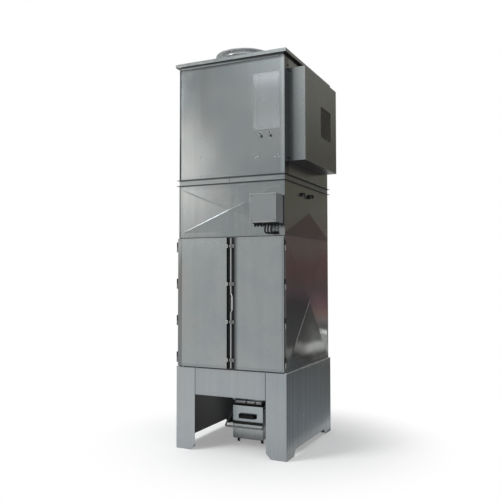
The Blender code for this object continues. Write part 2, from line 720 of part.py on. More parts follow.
def cartridge_mesh(place, top):
    """A pleated filter cartridge: collar, standing pleats and end cap."""
    def ring(outer, inner, z):
        points = []
        for k in range(2 * PLEATS):
            angle = math.pi * k / PLEATS
            radius = outer if k % 2 == 0 else inner
            points.append(Vector((place[0] + radius * math.cos(angle),
                                  place[1] + radius * math.sin(angle), z)))
        return points

    collar_bottom = top - CARTRIDGE_COLLAR_HEIGHT
    bottom = top - CARTRIDGE_LENGTH
    cap_top = bottom + CARTRIDGE_CAP_HEIGHT
    rings = [ring(CARTRIDGE_COLLAR, CARTRIDGE_COLLAR, top),
             ring(CARTRIDGE_COLLAR, CARTRIDGE_COLLAR, collar_bottom),
             ring(CARTRIDGE_OUTER, CARTRIDGE_INNER, collar_bottom),
             ring(CARTRIDGE_OUTER, CARTRIDGE_INNER, cap_top),
             ring(CARTRIDGE_CAP, CARTRIDGE_CAP, cap_top), ring(CARTRIDGE_CAP, CARTRIDGE_CAP, bottom)]
    return loft_mesh(rings, cap_top=True, cap_bottom=True)


def make_plenum(unit):
    """Four cross-broken sheets between the filter chamber and the section joint."""
    low, high = CHAMBER_TOP, JOINT_BOTTOM - SEAT
    half_v = (high - low) / 2
    middle = low + half_v
    side_half = CASING_DEPTH / 2 - SHEET - SEAT
    for side, name in ((-1, "left"), (1, "right")):
        cross_broken_panel("plenum_side_" + name, (side * HALF_X, 0, middle), (0, 1, 0),
                           (side, 0, 0), side_half, half_v, unit)
    for end, name in ((-1, "front"), (1, "rear")):
        cross_broken_panel("plenum_" + name, (0, end * REAR_Y, middle), (1, 0, 0),
                           (0, end, 0), HALF_X, half_v, unit)


def make_section_joint(unit):
    """The bolted frame between plenum and fan section: two lips with a band between them."""
    def ring(out, z):
        return rect_ring(HALF_X + out, REAR_Y + out, z)

    rings = [ring(-JOINT_WALL, JOINT_TOP), ring(LIP_PROUD, JOINT_TOP),
             ring(LIP_PROUD, JOINT_TOP - LIP_THICKNESS), ring(0, JOINT_TOP - LIP_THICKNESS),
             ring(0, JOINT_BOTTOM + LIP_THICKNESS), ring(LIP_PROUD, JOINT_BOTTOM + LIP_THICKNESS),
             ring(LIP_PROUD, JOINT_BOTTOM), ring(-JOINT_WALL, JOINT_BOTTOM)]
    add_piece("section_joint_frame", loft_mesh(rings, closed=True), "galvanised_sheet", unit)


def make_fan_section(unit):
    """Flat sheets round the fan, with the service plate and its two locks on the front."""
    low, high = JOINT_TOP + SEAT, CASING_TOP
    side_y = REAR_Y - SHEET - SEAT
    panels = {
        "fan_front_panel": ((-HALF_X, FRONT_Y, low), (HALF_X, FRONT_Y + SHEET, high)),
        "fan_rear_panel": ((-HALF_X, REAR_Y - SHEET, low), (HALF_X, REAR_Y, high)),
        "fan_side_left": ((-HALF_X, -side_y, low), (SHEET - HALF_X, side_y, high)),
        "fan_side_right": ((HALF_X - SHEET, -side_y, low), (HALF_X, side_y, high)),
    }
    sheets = {name: add_piece(name, block_mesh(corners), "galvanised_sheet", unit)
              for name, corners in panels.items()}
    flange_x = HALF_X - SHEET - SEAT
    for name, end in (("fan_front_panel", -1), ("fan_rear_panel", 1)):
        low_y, high_y = sorted((end * (REAR_Y - SHEET / 2), end * (REAR_Y - TOP_FLANGE)))
        fuse(sheets[name], block_mesh(((-flange_x, low_y, high - SHEET), (flange_x, high_y, high))))

    face = FRONT_Y - SEAT
    mesh = block_mesh(((PLATE_LEFT_X, face - PLATE_THICKNESS, PLATE_BOTTOM_Z),
                       (PLATE_LEFT_X + PLATE_WIDTH, face, PLATE_BOTTOM_Z + PLATE_HEIGHT)))
    round_edges(add_piece("service_plate", mesh, "brushed_sheet", unit), PLATE_EDGE)
    for k, name in enumerate(("plate_lock_left", "plate_lock_right")):
        at = (PLATE_LEFT_X + LOCK_FROM_PLATE + k * LOCK_PITCH, face, PLATE_BOTTOM_Z - LOCK_DROP)
        profile = [(0.0, LOCK_LENGTH - LOCK_DIMPLE), (LOCK_DIMPLE_RADIUS, LOCK_LENGTH - LOCK_DIMPLE),
                   (LOCK_DIMPLE_RADIUS, LOCK_LENGTH), (LOCK_RADIUS - LOCK_EDGE / 2, LOCK_LENGTH),
                   (LOCK_RADIUS, LOCK_LENGTH - LOCK_EDGE), (LOCK_RADIUS, 0.0), (0.0, 0.0)]
        turned_piece(name, profile, at, (0, -1, 0), "bright_steel", unit, steps=20)


def make_roof(unit):
    """The folded roof cap on its curb, and the flanged outlet spigot through it."""
    out_x, out_y = HALF_X + ROOF_OVER_SIDE, REAR_Y + ROOF_OVER_FRONT
    curb_x, curb_y = HALF_X - CURB_INSET, REAR_Y - CURB_INSET
    rings = [rect_ring(out_x, out_y, ROOF_TOP), rect_ring(out_x, out_y, ROOF_UNDERSIDE),
             rect_ring(curb_x, curb_y, ROOF_UNDERSIDE), rect_ring(curb_x, curb_y, CASING_TOP + SEAT)]
    cap = add_piece("roof_cap", loft_mesh(rings, cap_top=True), "galvanised_sheet", unit)
    thicken(cap, SHEET)
    spigot_y = FRONT_Y + SPIGOT_FROM_FRONT
    below = (SPIGOT_X, spigot_y, ROOF_TOP - SHEET - OVERCUT)
    above = (SPIGOT_X, spigot_y, ROOF_TOP + OVERCUT)
    cut(cap, rod_mesh((below, above, SPIGOT_RADIUS + SPIGOT_PLAY), sides=SPIGOT_SIDES))

    at = (SPIGOT_X, spigot_y, 0)
    inner = SPIGOT_RADIUS - SPIGOT_WALL
    top = ROOF_TOP + SPIGOT_HEIGHT
    floor = ROOF_TOP - SPIGOT_DEPTH
    foot = ROOF_TOP + SEAT
    profile = [(0.0, floor + SPIGOT_WALL), (inner, floor + SPIGOT_WALL), (inner, top),
               (SPIGOT_RADIUS, top), (SPIGOT_RADIUS, foot + SPIGOT_WALL),
               (SPIGOT_FOOT_RADIUS, foot + SPIGOT_WALL), (SPIGOT_FOOT_RADIUS, foot),
               (SPIGOT_RADIUS, foot), (SPIGOT_RADIUS, floor), (0.0, floor)]
    turned_piece("outlet_spigot", profile, at, (0, 0, 1), "bright_steel", unit, steps=SPIGOT_SIDES)
    bore = SPIGOT_RADIUS + SEAT
    profile = [(bore, top), (SPIGOT_FLANGE_RADIUS, top),
               (SPIGOT_FLANGE_RADIUS, top - SPIGOT_FLANGE_THICKNESS),
               (bore + SPIGOT_WALL, top - SPIGOT_FLANGE_THICKNESS),
               (bore + SPIGOT_WALL, top - SPIGOT_COLLAR), (bore, top - SPIGOT_COLLAR)]
    turned_piece("outlet_flange", profile, at, (0, 0, 1), "bright_steel", unit, steps=SPIGOT_SIDES,
                 closed=True)


def make_inlet(unit):
    """Plain round dust inlet with its flange, on the rear of the filter chamber."""
    at = (0, REAR_Y, BASE_HEIGHT + INLET_ABOVE_BASE)
    inner = INLET_RADIUS - SPIGOT_WALL
    foot = INLET_RADIUS + INLET_FOOT
    flange_back = INLET_LENGTH - SPIGOT_FLANGE_THICKNESS
    foot_top = SEAT + SPIGOT_WALL
    profile = [(inner, INLET_LENGTH), (INLET_FLANGE_RADIUS, INLET_LENGTH), (INLET_FLANGE_RADIUS, flange_back),
               (INLET_RADIUS, flange_back), (INLET_RADIUS, foot_top), (foot, foot_top), (foot, SEAT),
               (inner, SEAT)]
    turned_piece("inlet_spigot", profile, at, (0, 1, 0), "bright_steel", unit, steps=40, closed=True)


def make_enclosure(unit):
    """Sheet housing on the right of the fan section, with a grille behind its window."""
    front = FRONT_Y + ENCLOSURE_FROM_FRONT
    rear = front + ENCLOSURE_LENGTH
    low, high = ENCLOSURE_BOTTOM, ENCLOSURE_BOTTOM + ENCLOSURE_HEIGHT
    back = HALF_X + SEAT
    mesh = block_mesh(((back, front, low), (ENCLOSURE_X, rear, high)))
    housing = add_piece("fan_enclosure", mesh, "galvanised_sheet", unit)
    cut(housing, block_mesh(((back - OVERCUT, front + SHEET, low + SHEET),
                             (ENCLOSURE_X - SHEET, rear - SHEET, high - SHEET))))
    window_y = front + WINDOW_FROM_FRONT
    window_z = low + WINDOW_FROM_BOTTOM
    window_end, window_top = window_y + WINDOW_LENGTH, window_z + WINDOW_HEIGHT
    cut(housing, block_mesh(((ENCLOSURE_X - SHEET - OVERCUT, window_y, window_z),
                             (ENCLOSURE_X + OVERCUT, window_end, window_top))))

    face = ENCLOSURE_X - SHEET - SEAT
    mesh = block_mesh(((face - SHEET, window_y - GRILLE_MARGIN, window_z - GRILLE_MARGIN),
                       (face, window_end + GRILLE_MARGIN, window_top + GRILLE_MARGIN)))
    grille = add_piece("vent_grille", mesh, "dark_sheet", unit)
    step_y, step_z = WINDOW_LENGTH / GRILLE_ROWS, WINDOW_HEIGHT / GRILLE_ROWS
    holes = []
    for i in range(GRILLE_ROWS):
        for j in range(GRILLE_ROWS):
            y, z = window_y + (j + 0.5) * step_y, window_z + (i + 0.5) * step_z
            holes.append(((face - SHEET - OVERCUT, y, z), (face + OVERCUT, y, z), GRILLE_HOLE / 2))
    cut(grille, rod_mesh(*holes, sides=4))


def make_controls(unit):
    """Control box with lid and glands, its three cables, and their entry into the plenum."""
    right = BOX_LEFT_X + BOX_WIDTH
    top = BOX_BOTTOM_Z + BOX_HEIGHT
    back = FRONT_Y - BOX_STANDOFF
    face = FRONT_Y - BOX_REACH
    seam = face + BOX_LID
    mesh = block_mesh(((BOX_LEFT_X, seam + SEAT, BOX_BOTTOM_Z), (right, back, top)))
    body = add_piece("control_box", mesh, "box_enamel", unit)
    rail_x = right - BOX_EDGE
    fuse(body, block_mesh(((rail_x - BOX_RAIL, back - SUNK, BOX_BOTTOM_Z + BOX_RAIL),
                           (rail_x, FRONT_Y - SEAT, top - BOX_RAIL))))
    mesh = block_mesh(((BOX_LEFT_X, face, BOX_BOTTOM_Z), (right, seam, top)))
    round_edges(add_piece("control_box_lid", mesh, "box_enamel", unit), BOX_EDGE)

    plate_top = BOX_BOTTOM_Z - SEAT
    plate_bottom = plate_top - GLAND_PLATE_THICKNESS
    row_y = FRONT_Y - GLAND_FORWARD
    mesh = block_mesh(((BOX_LEFT_X + BOX_EDGE, row_y - GLAND_PLATE_DEPTH / 2, plate_bottom),
                       (right - BOX_EDGE, row_y + GLAND_PLATE_DEPTH / 2, plate_top)))
    plate = add_piece("gland_plate", mesh, "black_plastic", unit)
    tip = plate_bottom - GLAND_LENGTH
    glands = [((BOX_LEFT_X + x, row_y, plate_bottom + SUNK), (BOX_LEFT_X + x, row_y, tip), radius)
              for x, radius in GLAND_OFFSETS]
    fuse(plate, rod_mesh(*glands, sides=12))

    entry_z = CHAMBER_TOP + WALL_GLAND_ABOVE
    size_x, size_y, size_z = WALL_GLAND_SIZE
    entry_y = FRONT_Y - SEAT - size_y
    mesh = block_mesh(((WALL_GLAND_X - size_x / 2, entry_y, entry_z - size_z / 2),
                       (WALL_GLAND_X + size_x / 2, FRONT_Y - SEAT, entry_z + size_z / 2)))
    round_edges(add_piece("wall_gland", mesh, "black_plastic", unit), BOX_EDGE)

    for k, gland in enumerate(CABLE_GLANDS):
        start_x = BOX_LEFT_X + GLAND_OFFSETS[gland][0]
        end_x = WALL_GLAND_X + (k - 1) * WALL_GLAND_PITCH
        end_y = entry_y - SEAT
        route = [(start_x, row_y, tip - SEAT - 0.004), (start_x - 0.004, row_y, tip - 0.020),
                 (start_x - 0.006, row_y + 0.004, tip - 0.038), (start_x + 0.002, row_y + 0.016, tip - 0.052),
                 (end_x - 0.004, end_y - 0.026, entry_z - 0.006), (end_x, end_y - 0.005, entry_z)]
        path = [(start_x, row_y, tip - SEAT), *smooth_path(route, 3), (end_x, end_y, entry_z)]
        mesh = tube_mesh(path, CABLE_RADIUS)
        add_piece("control_cable_%d" % (k + 1), mesh, "black_rubber", unit)


def make_side_fittings(unit):
    """Two hose fittings on the right side of the plenum."""
    half_u = CASING_DEPTH / 2 - SHEET - SEAT
    half_v = (PLENUM_HEIGHT - SEAT) / 2
    z = CHAMBER_TOP + PLENUM_HEIGHT - FITTING_BELOW_TOP
    for name, (from_front, length) in zip(("side_fitting_front", "side_fitting_rear"), FITTING_PLACES):
        y = FRONT_Y + from_front
        low_edge = z - CHAMBER_TOP - half_v - FITTING_COLLAR_RADIUS
        rise = break_height(y, low_edge, half_u, half_v)
        at = (HALF_X + rise + SEAT, y, z)
        profile = [(0.0, length), (FITTING_RADIUS - FITTING_EDGE, length),
                   (FITTING_RADIUS, length - FITTING_EDGE), (FITTING_RADIUS, FITTING_COLLAR),
                   (FITTING_COLLAR_RADIUS, FITTING_COLLAR), (FITTING_COLLAR_RADIUS, 0.0), (0.0, 0.0)]
        turned_piece(name, profile, at, (1, 0, 0), "black_plastic", unit, steps=20)


def hinge_heights():
    """Heights of the hinges, which the guides and keepers of the locking rod share."""
    first = DOOR_TOP - HINGE_END
    last = DOOR_BOTTOM + HINGE_END
    step = (first - last) / (HINGE_COUNT - 1)
    return [last + k * step for k in range(HINGE_COUNT)]


def make_hinge_strip(side, name, unit):
    """Fixed hinge strip on the casing's front edge: lower knuckles with their pins."""
    low_x, high_x = sorted((side * (HALF_X + SEAT), side * (HALF_X + SEAT + HINGE_STRIP)))
    mesh = block_mesh(((low_x, FRONT_Y + PIN_PLAY, DOOR_BOTTOM),
                       (high_x, FRONT_Y + HINGE_STRIP_BACK, DOOR_TOP)))
    strip = add_piece(name, mesh, "bar_steel", unit)
    centre_x = side * HINGE_X
    leaves, knuckles, pins = [], [], []
    for z in hinge_heights():
        low, high = z - HINGE_LENGTH / 2, z - KNUCKLE_GAP
        pin_end = z + HINGE_LENGTH / 2 - 2 * KNUCKLE_GAP
        leaf_x = sorted((side * (HALF_X + SEAT), side * (HINGE_X + SUNK / 2)))
        leaves.append(((leaf_x[0], HINGE_Y, low), (leaf_x[1], FRONT_Y + HINGE_LEAF_BACK, high)))
        knuckles.append(((centre_x, HINGE_Y, low - PIN_PLAY), (centre_x, HINGE_Y, high), HINGE_RADIUS))
        pins.append(((centre_x, HINGE_Y, z - OVERCUT), (centre_x, HINGE_Y, pin_end), HINGE_PIN_RADIUS))
    fuse(strip, block_mesh(*leaves))
    fuse(strip, rod_mesh(*knuckles, sides=12))
    fuse(strip, rod_mesh(*pins, sides=10))


def make_door(name, side, edge_x, margin, carrier):
    """A sheet metal door pan with a stepped hinge margin and upper hinge knuckles."""
    hinge_edge = side * (HALF_X - DOOR_SIDE_INSET)
    low_x, high_x = sorted((hinge_edge, edge_x))
    mesh = block_mesh(((low_x, DOOR_FRONT_Y, DOOR_BOTTOM), (high_x, DOOR_BACK_Y, DOOR_TOP)))
    door = add_piece(name, mesh, "galvanised_sheet", carrier)
    step_x = sorted((hinge_edge + side * OVERCUT, hinge_edge - side * margin))
    cut(door, block_mesh(((step_x[0], DOOR_FRONT_Y - OVERCUT, DOOR_BOTTOM - OVERCUT),
                          (step_x[1], DOOR_FRONT_Y + MARGIN_STEP, DOOR_TOP + OVERCUT))))
    pocket_front = DOOR_FRONT_Y + MARGIN_STEP + DOOR_SHEET
    cut(door, block_mesh(((low_x + DOOR_SHEET, pocket_front, DOOR_BOTTOM + DOOR_SHEET),
                          (high_x - DOOR_SHEET, DOOR_BACK_Y + OVERCUT, DOOR_TOP - DOOR_SHEET))))
    lugs, knuckles, bores = [], [], []
    centre_x = side * HINGE_X
    for z in hinge_heights():
        top = z + HINGE_LENGTH / 2
        lug_x = sorted((hinge_edge - side * SUNK / 2, centre_x))
        lugs.append(((lug_x[0], HINGE_Y - HINGE_LUG / 2, z), (lug_x[1], HINGE_Y + HINGE_LUG / 2, top)))
        knuckles.append(((centre_x, HINGE_Y, z), (centre_x, HINGE_Y, top), HINGE_RADIUS))
        bores.append(((centre_x, HINGE_Y, z - OVERCUT), (centre_x, HINGE_Y, top - KNUCKLE_GAP),
                      HINGE_PIN_RADIUS + PIN_PLAY))
    fuse(door, block_mesh(*lugs))
    fuse(door, rod_mesh(*knuckles, sides=12))
    cut(door, rod_mesh(*bores, sides=10))
    return door


def make_doors(left, right, rod):
    left_door = make_door("left_door", -1, LEFT_DOOR_EDGE_X, LEFT_MARGIN, left)
    right_door = make_door("right_door", 1, RIGHT_DOOR_EDGE_X, RIGHT_MARGIN, right)
    front = ROD_Y - ROD_RADIUS - GUIDE_LIP
    back = front + KEEPER_DEPTH
    keepers, guides, slots, bores, noses = [], [], [], [], []
    for z in hinge_heights():
        low, high = z - GUIDE_HEIGHT / 2, z + GUIDE_HEIGHT / 2
        keepers.append(((LEFT_DOOR_EDGE_X - GUIDE_ROOT, front, low),
                        (LEFT_DOOR_EDGE_X + KEEPER_OVERHANG, back, high)))
        guides.append(((ROD_X - ROD_RADIUS - SUNK, front, low), (RIGHT_DOOR_EDGE_X + GUIDE_ROOT, back, high)))
        slots.append(((ROD_X - GUIDE_MOUTH, ROD_Y - GUIDE_WALL, z - GUIDE_SLOT / 2),
                      (ROD_X + GUIDE_WALL, back + OVERCUT, z + GUIDE_SLOT / 2)))
        bores.append(((ROD_X, ROD_Y, low - OVERCUT), (ROD_X, ROD_Y, high + OVERCUT), ROD_RADIUS + PIN_PLAY))
        noses.append(((ROD_X - NOSE_REACH, ROD_Y - NOSE_THICKNESS / 2, z - NOSE_HEIGHT / 2),
                      (ROD_X + SUNK / 2, ROD_Y + NOSE_THICKNESS / 2, z + NOSE_HEIGHT / 2)))
    fuse(left_door, block_mesh(*keepers))
    fuse(right_door, block_mesh(*guides))
    cut(right_door, block_mesh(*slots))
    cut(right_door, rod_mesh(*bores, sides=16))

    heights = hinge_heights()
    middle = len(heights) // 2
    crank_z = (heights[middle - 1] + heights[middle]) / 2
    high, low = crank_z + CRANK_LENGTH / 2, crank_z - CRANK_LENGTH / 2
    crank_x, crank_y = ROD_X + CRANK_OFFSET_X, ROD_Y - CRANK_OFFSET_Y
    corners = [(ROD_X, ROD_Y, DOOR_TOP - ROD_END_GAP), (ROD_X, ROD_Y, high + CRANK_SLOPE),
               (crank_x, crank_y, high), (crank_x, crank_y, low),
               (ROD_X, ROD_Y, low - CRANK_SLOPE), (ROD_X, ROD_Y, DOOR_BOTTOM + ROD_END_GAP)]
    mesh = tube_mesh(rounded_path(corners, CRANK_BEND, 3), ROD_RADIUS)
    fuse(add_piece("lock_rod", mesh, "bright_steel", rod), block_mesh(*noses))


def make_bin(bin_carrier, lever_carrier):
    """Rolling dust bin with band, bridge handle and dolly, and the U lever on its two bosses."""
    rim_x, rim_y = BIN_HALF_X, BIN_HALF_Y
    in_x, in_y = rim_x - BIN_SHEET, rim_y - BIN_SHEET
    mesh = block_mesh(((-rim_x, -rim_y, BIN_FLOOR_Z), (rim_x, rim_y, BIN_RIM_Z)))
    dust_bin = add_piece("dust_bin", mesh, "galvanised_sheet", bin_carrier)
    cut(dust_bin, block_mesh(((-in_x, -in_y, BIN_FLOOR_Z + BIN_SHEET), (in_x, in_y, BIN_RIM_Z + OVERCUT))))
    pivot = Vector((0, LEVER_PIVOT_Y, LEVER_PIVOT_Z))
    boss_end = LEVER_HALF_X - LEVER_EYE_WIDTH / 2 - PIN_PLAY
    pin_end = LEVER_HALF_X + LEVER_EYE_WIDTH / 2
    bosses, pins = [], []
    for side in (-1, 1):
        start = pivot + Vector((side * (rim_x - BIN_SHEET / 2), 0, 0))
        bosses.append((start, pivot + Vector((side * boss_end, 0, 0)), LEVER_BOSS_RADIUS))
        pins.append((start + Vector((side * SUNK, 0, 0)), pivot + Vector((side * pin_end, 0, 0)),
                     LEVER_PIN_RADIUS))
    fuse(dust_bin, rod_mesh(*bosses, sides=16))
    fuse(dust_bin, rod_mesh(*pins, sides=12))

    face = -rim_y - SEAT
    mesh = block_mesh(((-rim_x, face - BAND_THICKNESS, BAND_BOTTOM_Z),
                       (rim_x, face, BAND_BOTTOM_Z + BAND_HEIGHT)))
    add_piece("bin_band", mesh, "black_rubber", bin_carrier)

    half = HANDLE_WIDTH / 2
    reach = face - HANDLE_REACH
    crown = half * HANDLE_TAPER
    bridge = [(-half, face), (-crown, reach), (crown, reach), (half, face), (half - 2 * HANDLE_WALL, face),
              (crown - HANDLE_WALL, reach + HANDLE_WALL), (HANDLE_WALL - crown, reach + HANDLE_WALL),
              (2 * HANDLE_WALL - half, face)]
    place = Matrix.Translation((0, 0, HANDLE_BOTTOM_Z + HANDLE_HEIGHT / 2))
    mesh = outline_mesh(bridge, HANDLE_HEIGHT, place)
    add_piece("bin_handle", mesh, "black_plastic", bin_carrier)

    plate_top = BIN_FLOOR_Z - SEAT
    plate_bottom = plate_top - DOLLY_THICKNESS
    plate_x, plate_y = rim_x - DOLLY_INSET, rim_y - DOLLY_INSET
    mesh = block_mesh(((-plate_x, -plate_y, plate_bottom), (plate_x, plate_y, plate_top)))
    dolly = add_piece("bin_dolly", mesh, "black_plastic", bin_carrier)
    forks, wheels = [], []
    for side_x in (-1, 1):
        for side_y in (-1, 1):
            x, y = side_x * (rim_x - CASTOR_INSET_X), side_y * (rim_y - CASTOR_INSET_Y)
            fork, wheel = FORK_WIDTH / 2, CASTOR_WIDTH / 2
            forks.append(((x - fork, y - fork, plate_bottom - FORK_HEIGHT),
                          (x + fork, y + fork, plate_bottom + SUNK)))
            wheels.append(((x - wheel, y, CASTOR_RADIUS), (x + wheel, y, CASTOR_RADIUS), CASTOR_RADIUS))
    fuse(dolly, block_mesh(*forks))
    fuse(dolly, rod_mesh(*wheels, sides=20))

    bar_y, bar_z = LEVER_PIVOT_Y - LEVER_REACH, LEVER_PIVOT_Z - LEVER_DROP
    root = pivot + Vector((0, -LEVER_REACH, -LEVER_DROP)).normalized() * LEVER_ROOT
    corners = [root - Vector((LEVER_HALF_X, 0, 0)), (-LEVER_HALF_X, bar_y, bar_z),
               (LEVER_HALF_X, bar_y, bar_z), root + Vector((LEVER_HALF_X, 0, 0))]
    mesh = tube_mesh(rounded_path(corners, LEVER_CORNER), LEVER_TUBE_RADIUS)
    lever = add_piece("bin_lever", mesh, "bar_steel", lever_carrier)
    eye, bore = Vector((LEVER_EYE_WIDTH / 2, 0, 0)), Vector((LEVER_EYE_WIDTH / 2 + OVERCUT, 0, 0))
    eyes, bores = [], []
    for side in (-1, 1):
        centre = pivot + Vector((side * LEVER_HALF_X, 0, 0))
        eyes.append((centre - eye, centre + eye, LEVER_EYE_RADIUS))
        bores.append((centre - bore, centre + bore, LEVER_PIN_RADIUS + PIN_PLAY))
    fuse(lever, rod_mesh(*eyes, sides=16))
    cut(lever, rod_mesh(*bores, sides=12))


def main():
    clear_scene()
    new_collection(COLLECTION)
    new_collection(CUTTERS)
    unit = new_carrier("collector_frame", (0, 0, 0))
    left = new_carrier("left_door_axis", (-HINGE_X, HINGE_Y, DOOR_BOTTOM), unit)
    right = new_carrier("right_door_axis", (HINGE_X, HINGE_Y, DOOR_BOTTOM), unit)
    rod = new_carrier("lock_rod_axis", (ROD_X, ROD_Y, DOOR_BOTTOM), right)
    bin_carrier = new_carrier("bin_slide", (0, 0, 0), unit)
    lever_carrier = new_carrier("bin_lever_axis", (0, LEVER_PIVOT_Y, LEVER_PIVOT_Z), bin_carrier)
    make_base(unit)
    make_hopper(unit)
    make_filter_chamber(unit)
    make_plenum(unit)
    make_section_joint(unit)
    make_fan_section(unit)
    make_roof(unit)
    make_inlet(unit)
    make_enclosure(unit)
    make_controls(unit)
    make_side_fittings(unit)
    make_hinge_strip(-1, "left_hinge_strip", unit)
    make_hinge_strip(1, "right_hinge_strip", unit)
    make_doors(left, right, rod)
    make_bin(bin_carrier, lever_carrier)


main()
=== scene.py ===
# Cartridge dust collector: finishes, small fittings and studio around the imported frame.
# Metres, +Z up, front towards -Y. Every finished piece keeps its place in its mesh.
import json
import math
from collections import namedtuple

import bmesh
import bpy
from mathutils import Matrix, Vector

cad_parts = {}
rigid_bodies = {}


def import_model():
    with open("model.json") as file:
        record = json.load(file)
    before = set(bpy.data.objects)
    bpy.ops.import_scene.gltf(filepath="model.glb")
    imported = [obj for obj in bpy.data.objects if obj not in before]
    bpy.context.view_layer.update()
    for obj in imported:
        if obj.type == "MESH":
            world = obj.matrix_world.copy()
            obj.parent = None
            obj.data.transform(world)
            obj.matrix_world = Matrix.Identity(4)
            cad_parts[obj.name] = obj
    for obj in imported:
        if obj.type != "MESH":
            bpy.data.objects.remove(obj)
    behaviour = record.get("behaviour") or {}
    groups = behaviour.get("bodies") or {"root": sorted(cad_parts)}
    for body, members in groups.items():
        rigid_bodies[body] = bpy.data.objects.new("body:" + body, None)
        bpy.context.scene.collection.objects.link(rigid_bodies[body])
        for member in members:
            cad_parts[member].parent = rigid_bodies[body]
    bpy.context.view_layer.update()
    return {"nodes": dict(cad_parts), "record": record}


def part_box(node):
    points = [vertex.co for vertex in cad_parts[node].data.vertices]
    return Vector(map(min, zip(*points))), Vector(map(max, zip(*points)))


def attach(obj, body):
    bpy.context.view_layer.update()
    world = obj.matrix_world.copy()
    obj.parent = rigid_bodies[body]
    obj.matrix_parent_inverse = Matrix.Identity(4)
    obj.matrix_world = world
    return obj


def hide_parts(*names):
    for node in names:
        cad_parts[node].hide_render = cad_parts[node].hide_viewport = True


for leftover in list(bpy.data.objects):
    bpy.data.objects.remove(leftover, do_unlink=True)

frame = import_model()
nodes = frame["nodes"]
bodyOf = {node: name for name, members in frame["record"]["behaviour"]["bodies"].items() for node in members}
slotOf = {row["node"]: row["material_slot"] for row in frame["record"]["subparts"]}
casingLow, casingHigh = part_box("door_frame")[0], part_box("filter_rear_panel")[1]
middle = (casingLow + casingHigh) / 2          # plan centre of the casing
origin, up, toFront, toRear, toRight = (0, 0, 0), (0, 0, 1), (0, -1, 0), (0, 1, 0), (1, 0, 0)
print("frame loaded:", len(nodes), "nodes")


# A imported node's lowest and highest corners, centre and half size, the last two in full precision.
Spot = namedtuple("Spot", "x y z")


def boxOf(node):
    low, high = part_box(node)
    centre, half = zip(*(((a + b) / 2, (b - a) / 2) for a, b in zip(low, high)))
    return low, high, Spot(*centre), Spot(*half)


# Shader maths

# A socket that can be added to, multiplied and so on, each time with one more Math node.
class Wire:
    def __init__(self, finish, socket):
        self.finish, self.socket = finish, socket

    def calc(self, operation, first, second=0.0):
        return self.finish.add("Math", {"operation": operation}, {0: first, 1: second})

    def __add__(self, other):
        return self.calc("ADD", self, other)

    def __radd__(self, other):
        return self.calc("ADD", other, self)

    def __sub__(self, other):
        return self.calc("SUBTRACT", self, other)

    def __rsub__(self, other):
        return self.calc("SUBTRACT", other, self)

    def __mul__(self, other):
        return self.calc("MULTIPLY", self, other)

    def __rmul__(self, other):
        return self.calc("MULTIPLY", other, self)

    def __truediv__(self, other):
        return self.calc("DIVIDE", self, other)

    def least(self, other):
        return self.calc("MINIMUM", self, other)

    def most(self, other):
        return self.calc("MAXIMUM", self, other)


# A material under construction.
class Finish:
    def __init__(self, name):
        self.material = bpy.data.materials.new(name)
        self.material.use_nodes = True
        self.tree = self.material.node_tree
        self.shader = self.tree.nodes["Principled BSDF"]
        self.here = None

    def add(self, kind, settings=None, sockets=None, out=0):
        node = self.tree.nodes.new("ShaderNode" + kind)
        for key, value in (settings or {}).items():
            setattr(node, key, value)
        for key, value in (sockets or {}).items():
            self.feed(node.inputs[key], value)
        return Wire(self, node.outputs[out])

    def feed(self, socket, value):
        if isinstance(value, Wire):
            self.tree.links.new(value.socket, socket)
        else:
            socket.default_value = value

    def place(self, scale=(1.0, 1.0, 1.0), shift=(0.0, 0.0, 0.0)):
        if self.here is None:
            self.here = self.add("TexCoord", out=3)
        return self.add("Mapping", {}, {"Vector": self.here, "Scale": scale, "Location": shift})

    def axis(self, index):
        return self.add("SeparateXYZ", {}, {0: self.place()}, out=index)

    def noise(self, scale, detail=2.0, rough=0.5, stretch=(1.0, 1.0, 1.0), shift=(0.0, 0.0, 0.0)):
        return self.add("TexNoise", {}, {"Vector": self.place(stretch, shift=shift), "Scale": scale,
                                         "Detail": detail, "Roughness": rough})

    def step(self, value, low, high):
        return self.add("MapRange", {"interpolation_type": "SMOOTHSTEP"},
                        {"Value": value, "From Min": low, "From Max": high})

    def fall(self, value, low, high):
        return 1.0 - self.step(value, low, high)

    def inwards(self, axis, low, high):  # how far in from the nearer end of one axis
        here = self.axis(axis)
        return (here - low[axis]).least(high[axis] - here)

    def blend(self, share, first, second):
        shades = [shade if isinstance(shade, Wire) else (*shade, 1.0) for shade in (first, second)]
        return self.add("Mix", {"data_type": "RGBA"}, {0: share, 6: shades[0], 7: shades[1]}, out=2)

    def ramp(self, value, stops):        # colours by value: (value, colour) each, from 0 to 1
        wire = self.add("ValToRGB", {}, {0: value})
        elements = wire.socket.node.color_ramp.elements
        for k, (at, colour) in enumerate(stops):
            stop = elements[k] if k < 2 else elements.new(at)
            stop.position, stop.color = at, (*colour, 1.0)
        return wire

    def shade(self, colour, amount):     # the colour times a number that varies
        grey = self.add("CombineXYZ", {}, {0: amount, 1: amount, 2: amount})
        return self.add("VectorMath", {"operation": "MULTIPLY"}, {0: colour, 1: grey})

    def bump(self, height, distance, under=None):
        sockets = {"Height": height, "Distance": distance}
        if under is not None:
            sockets["Normal"] = under
        return self.add("Bump", {}, sockets)

    def wear(self, **sockets):
        for name, value in sockets.items():
            self.feed(self.shader.inputs[name.replace("_", " ")], value)
        return self.material


# Geometry Nodes

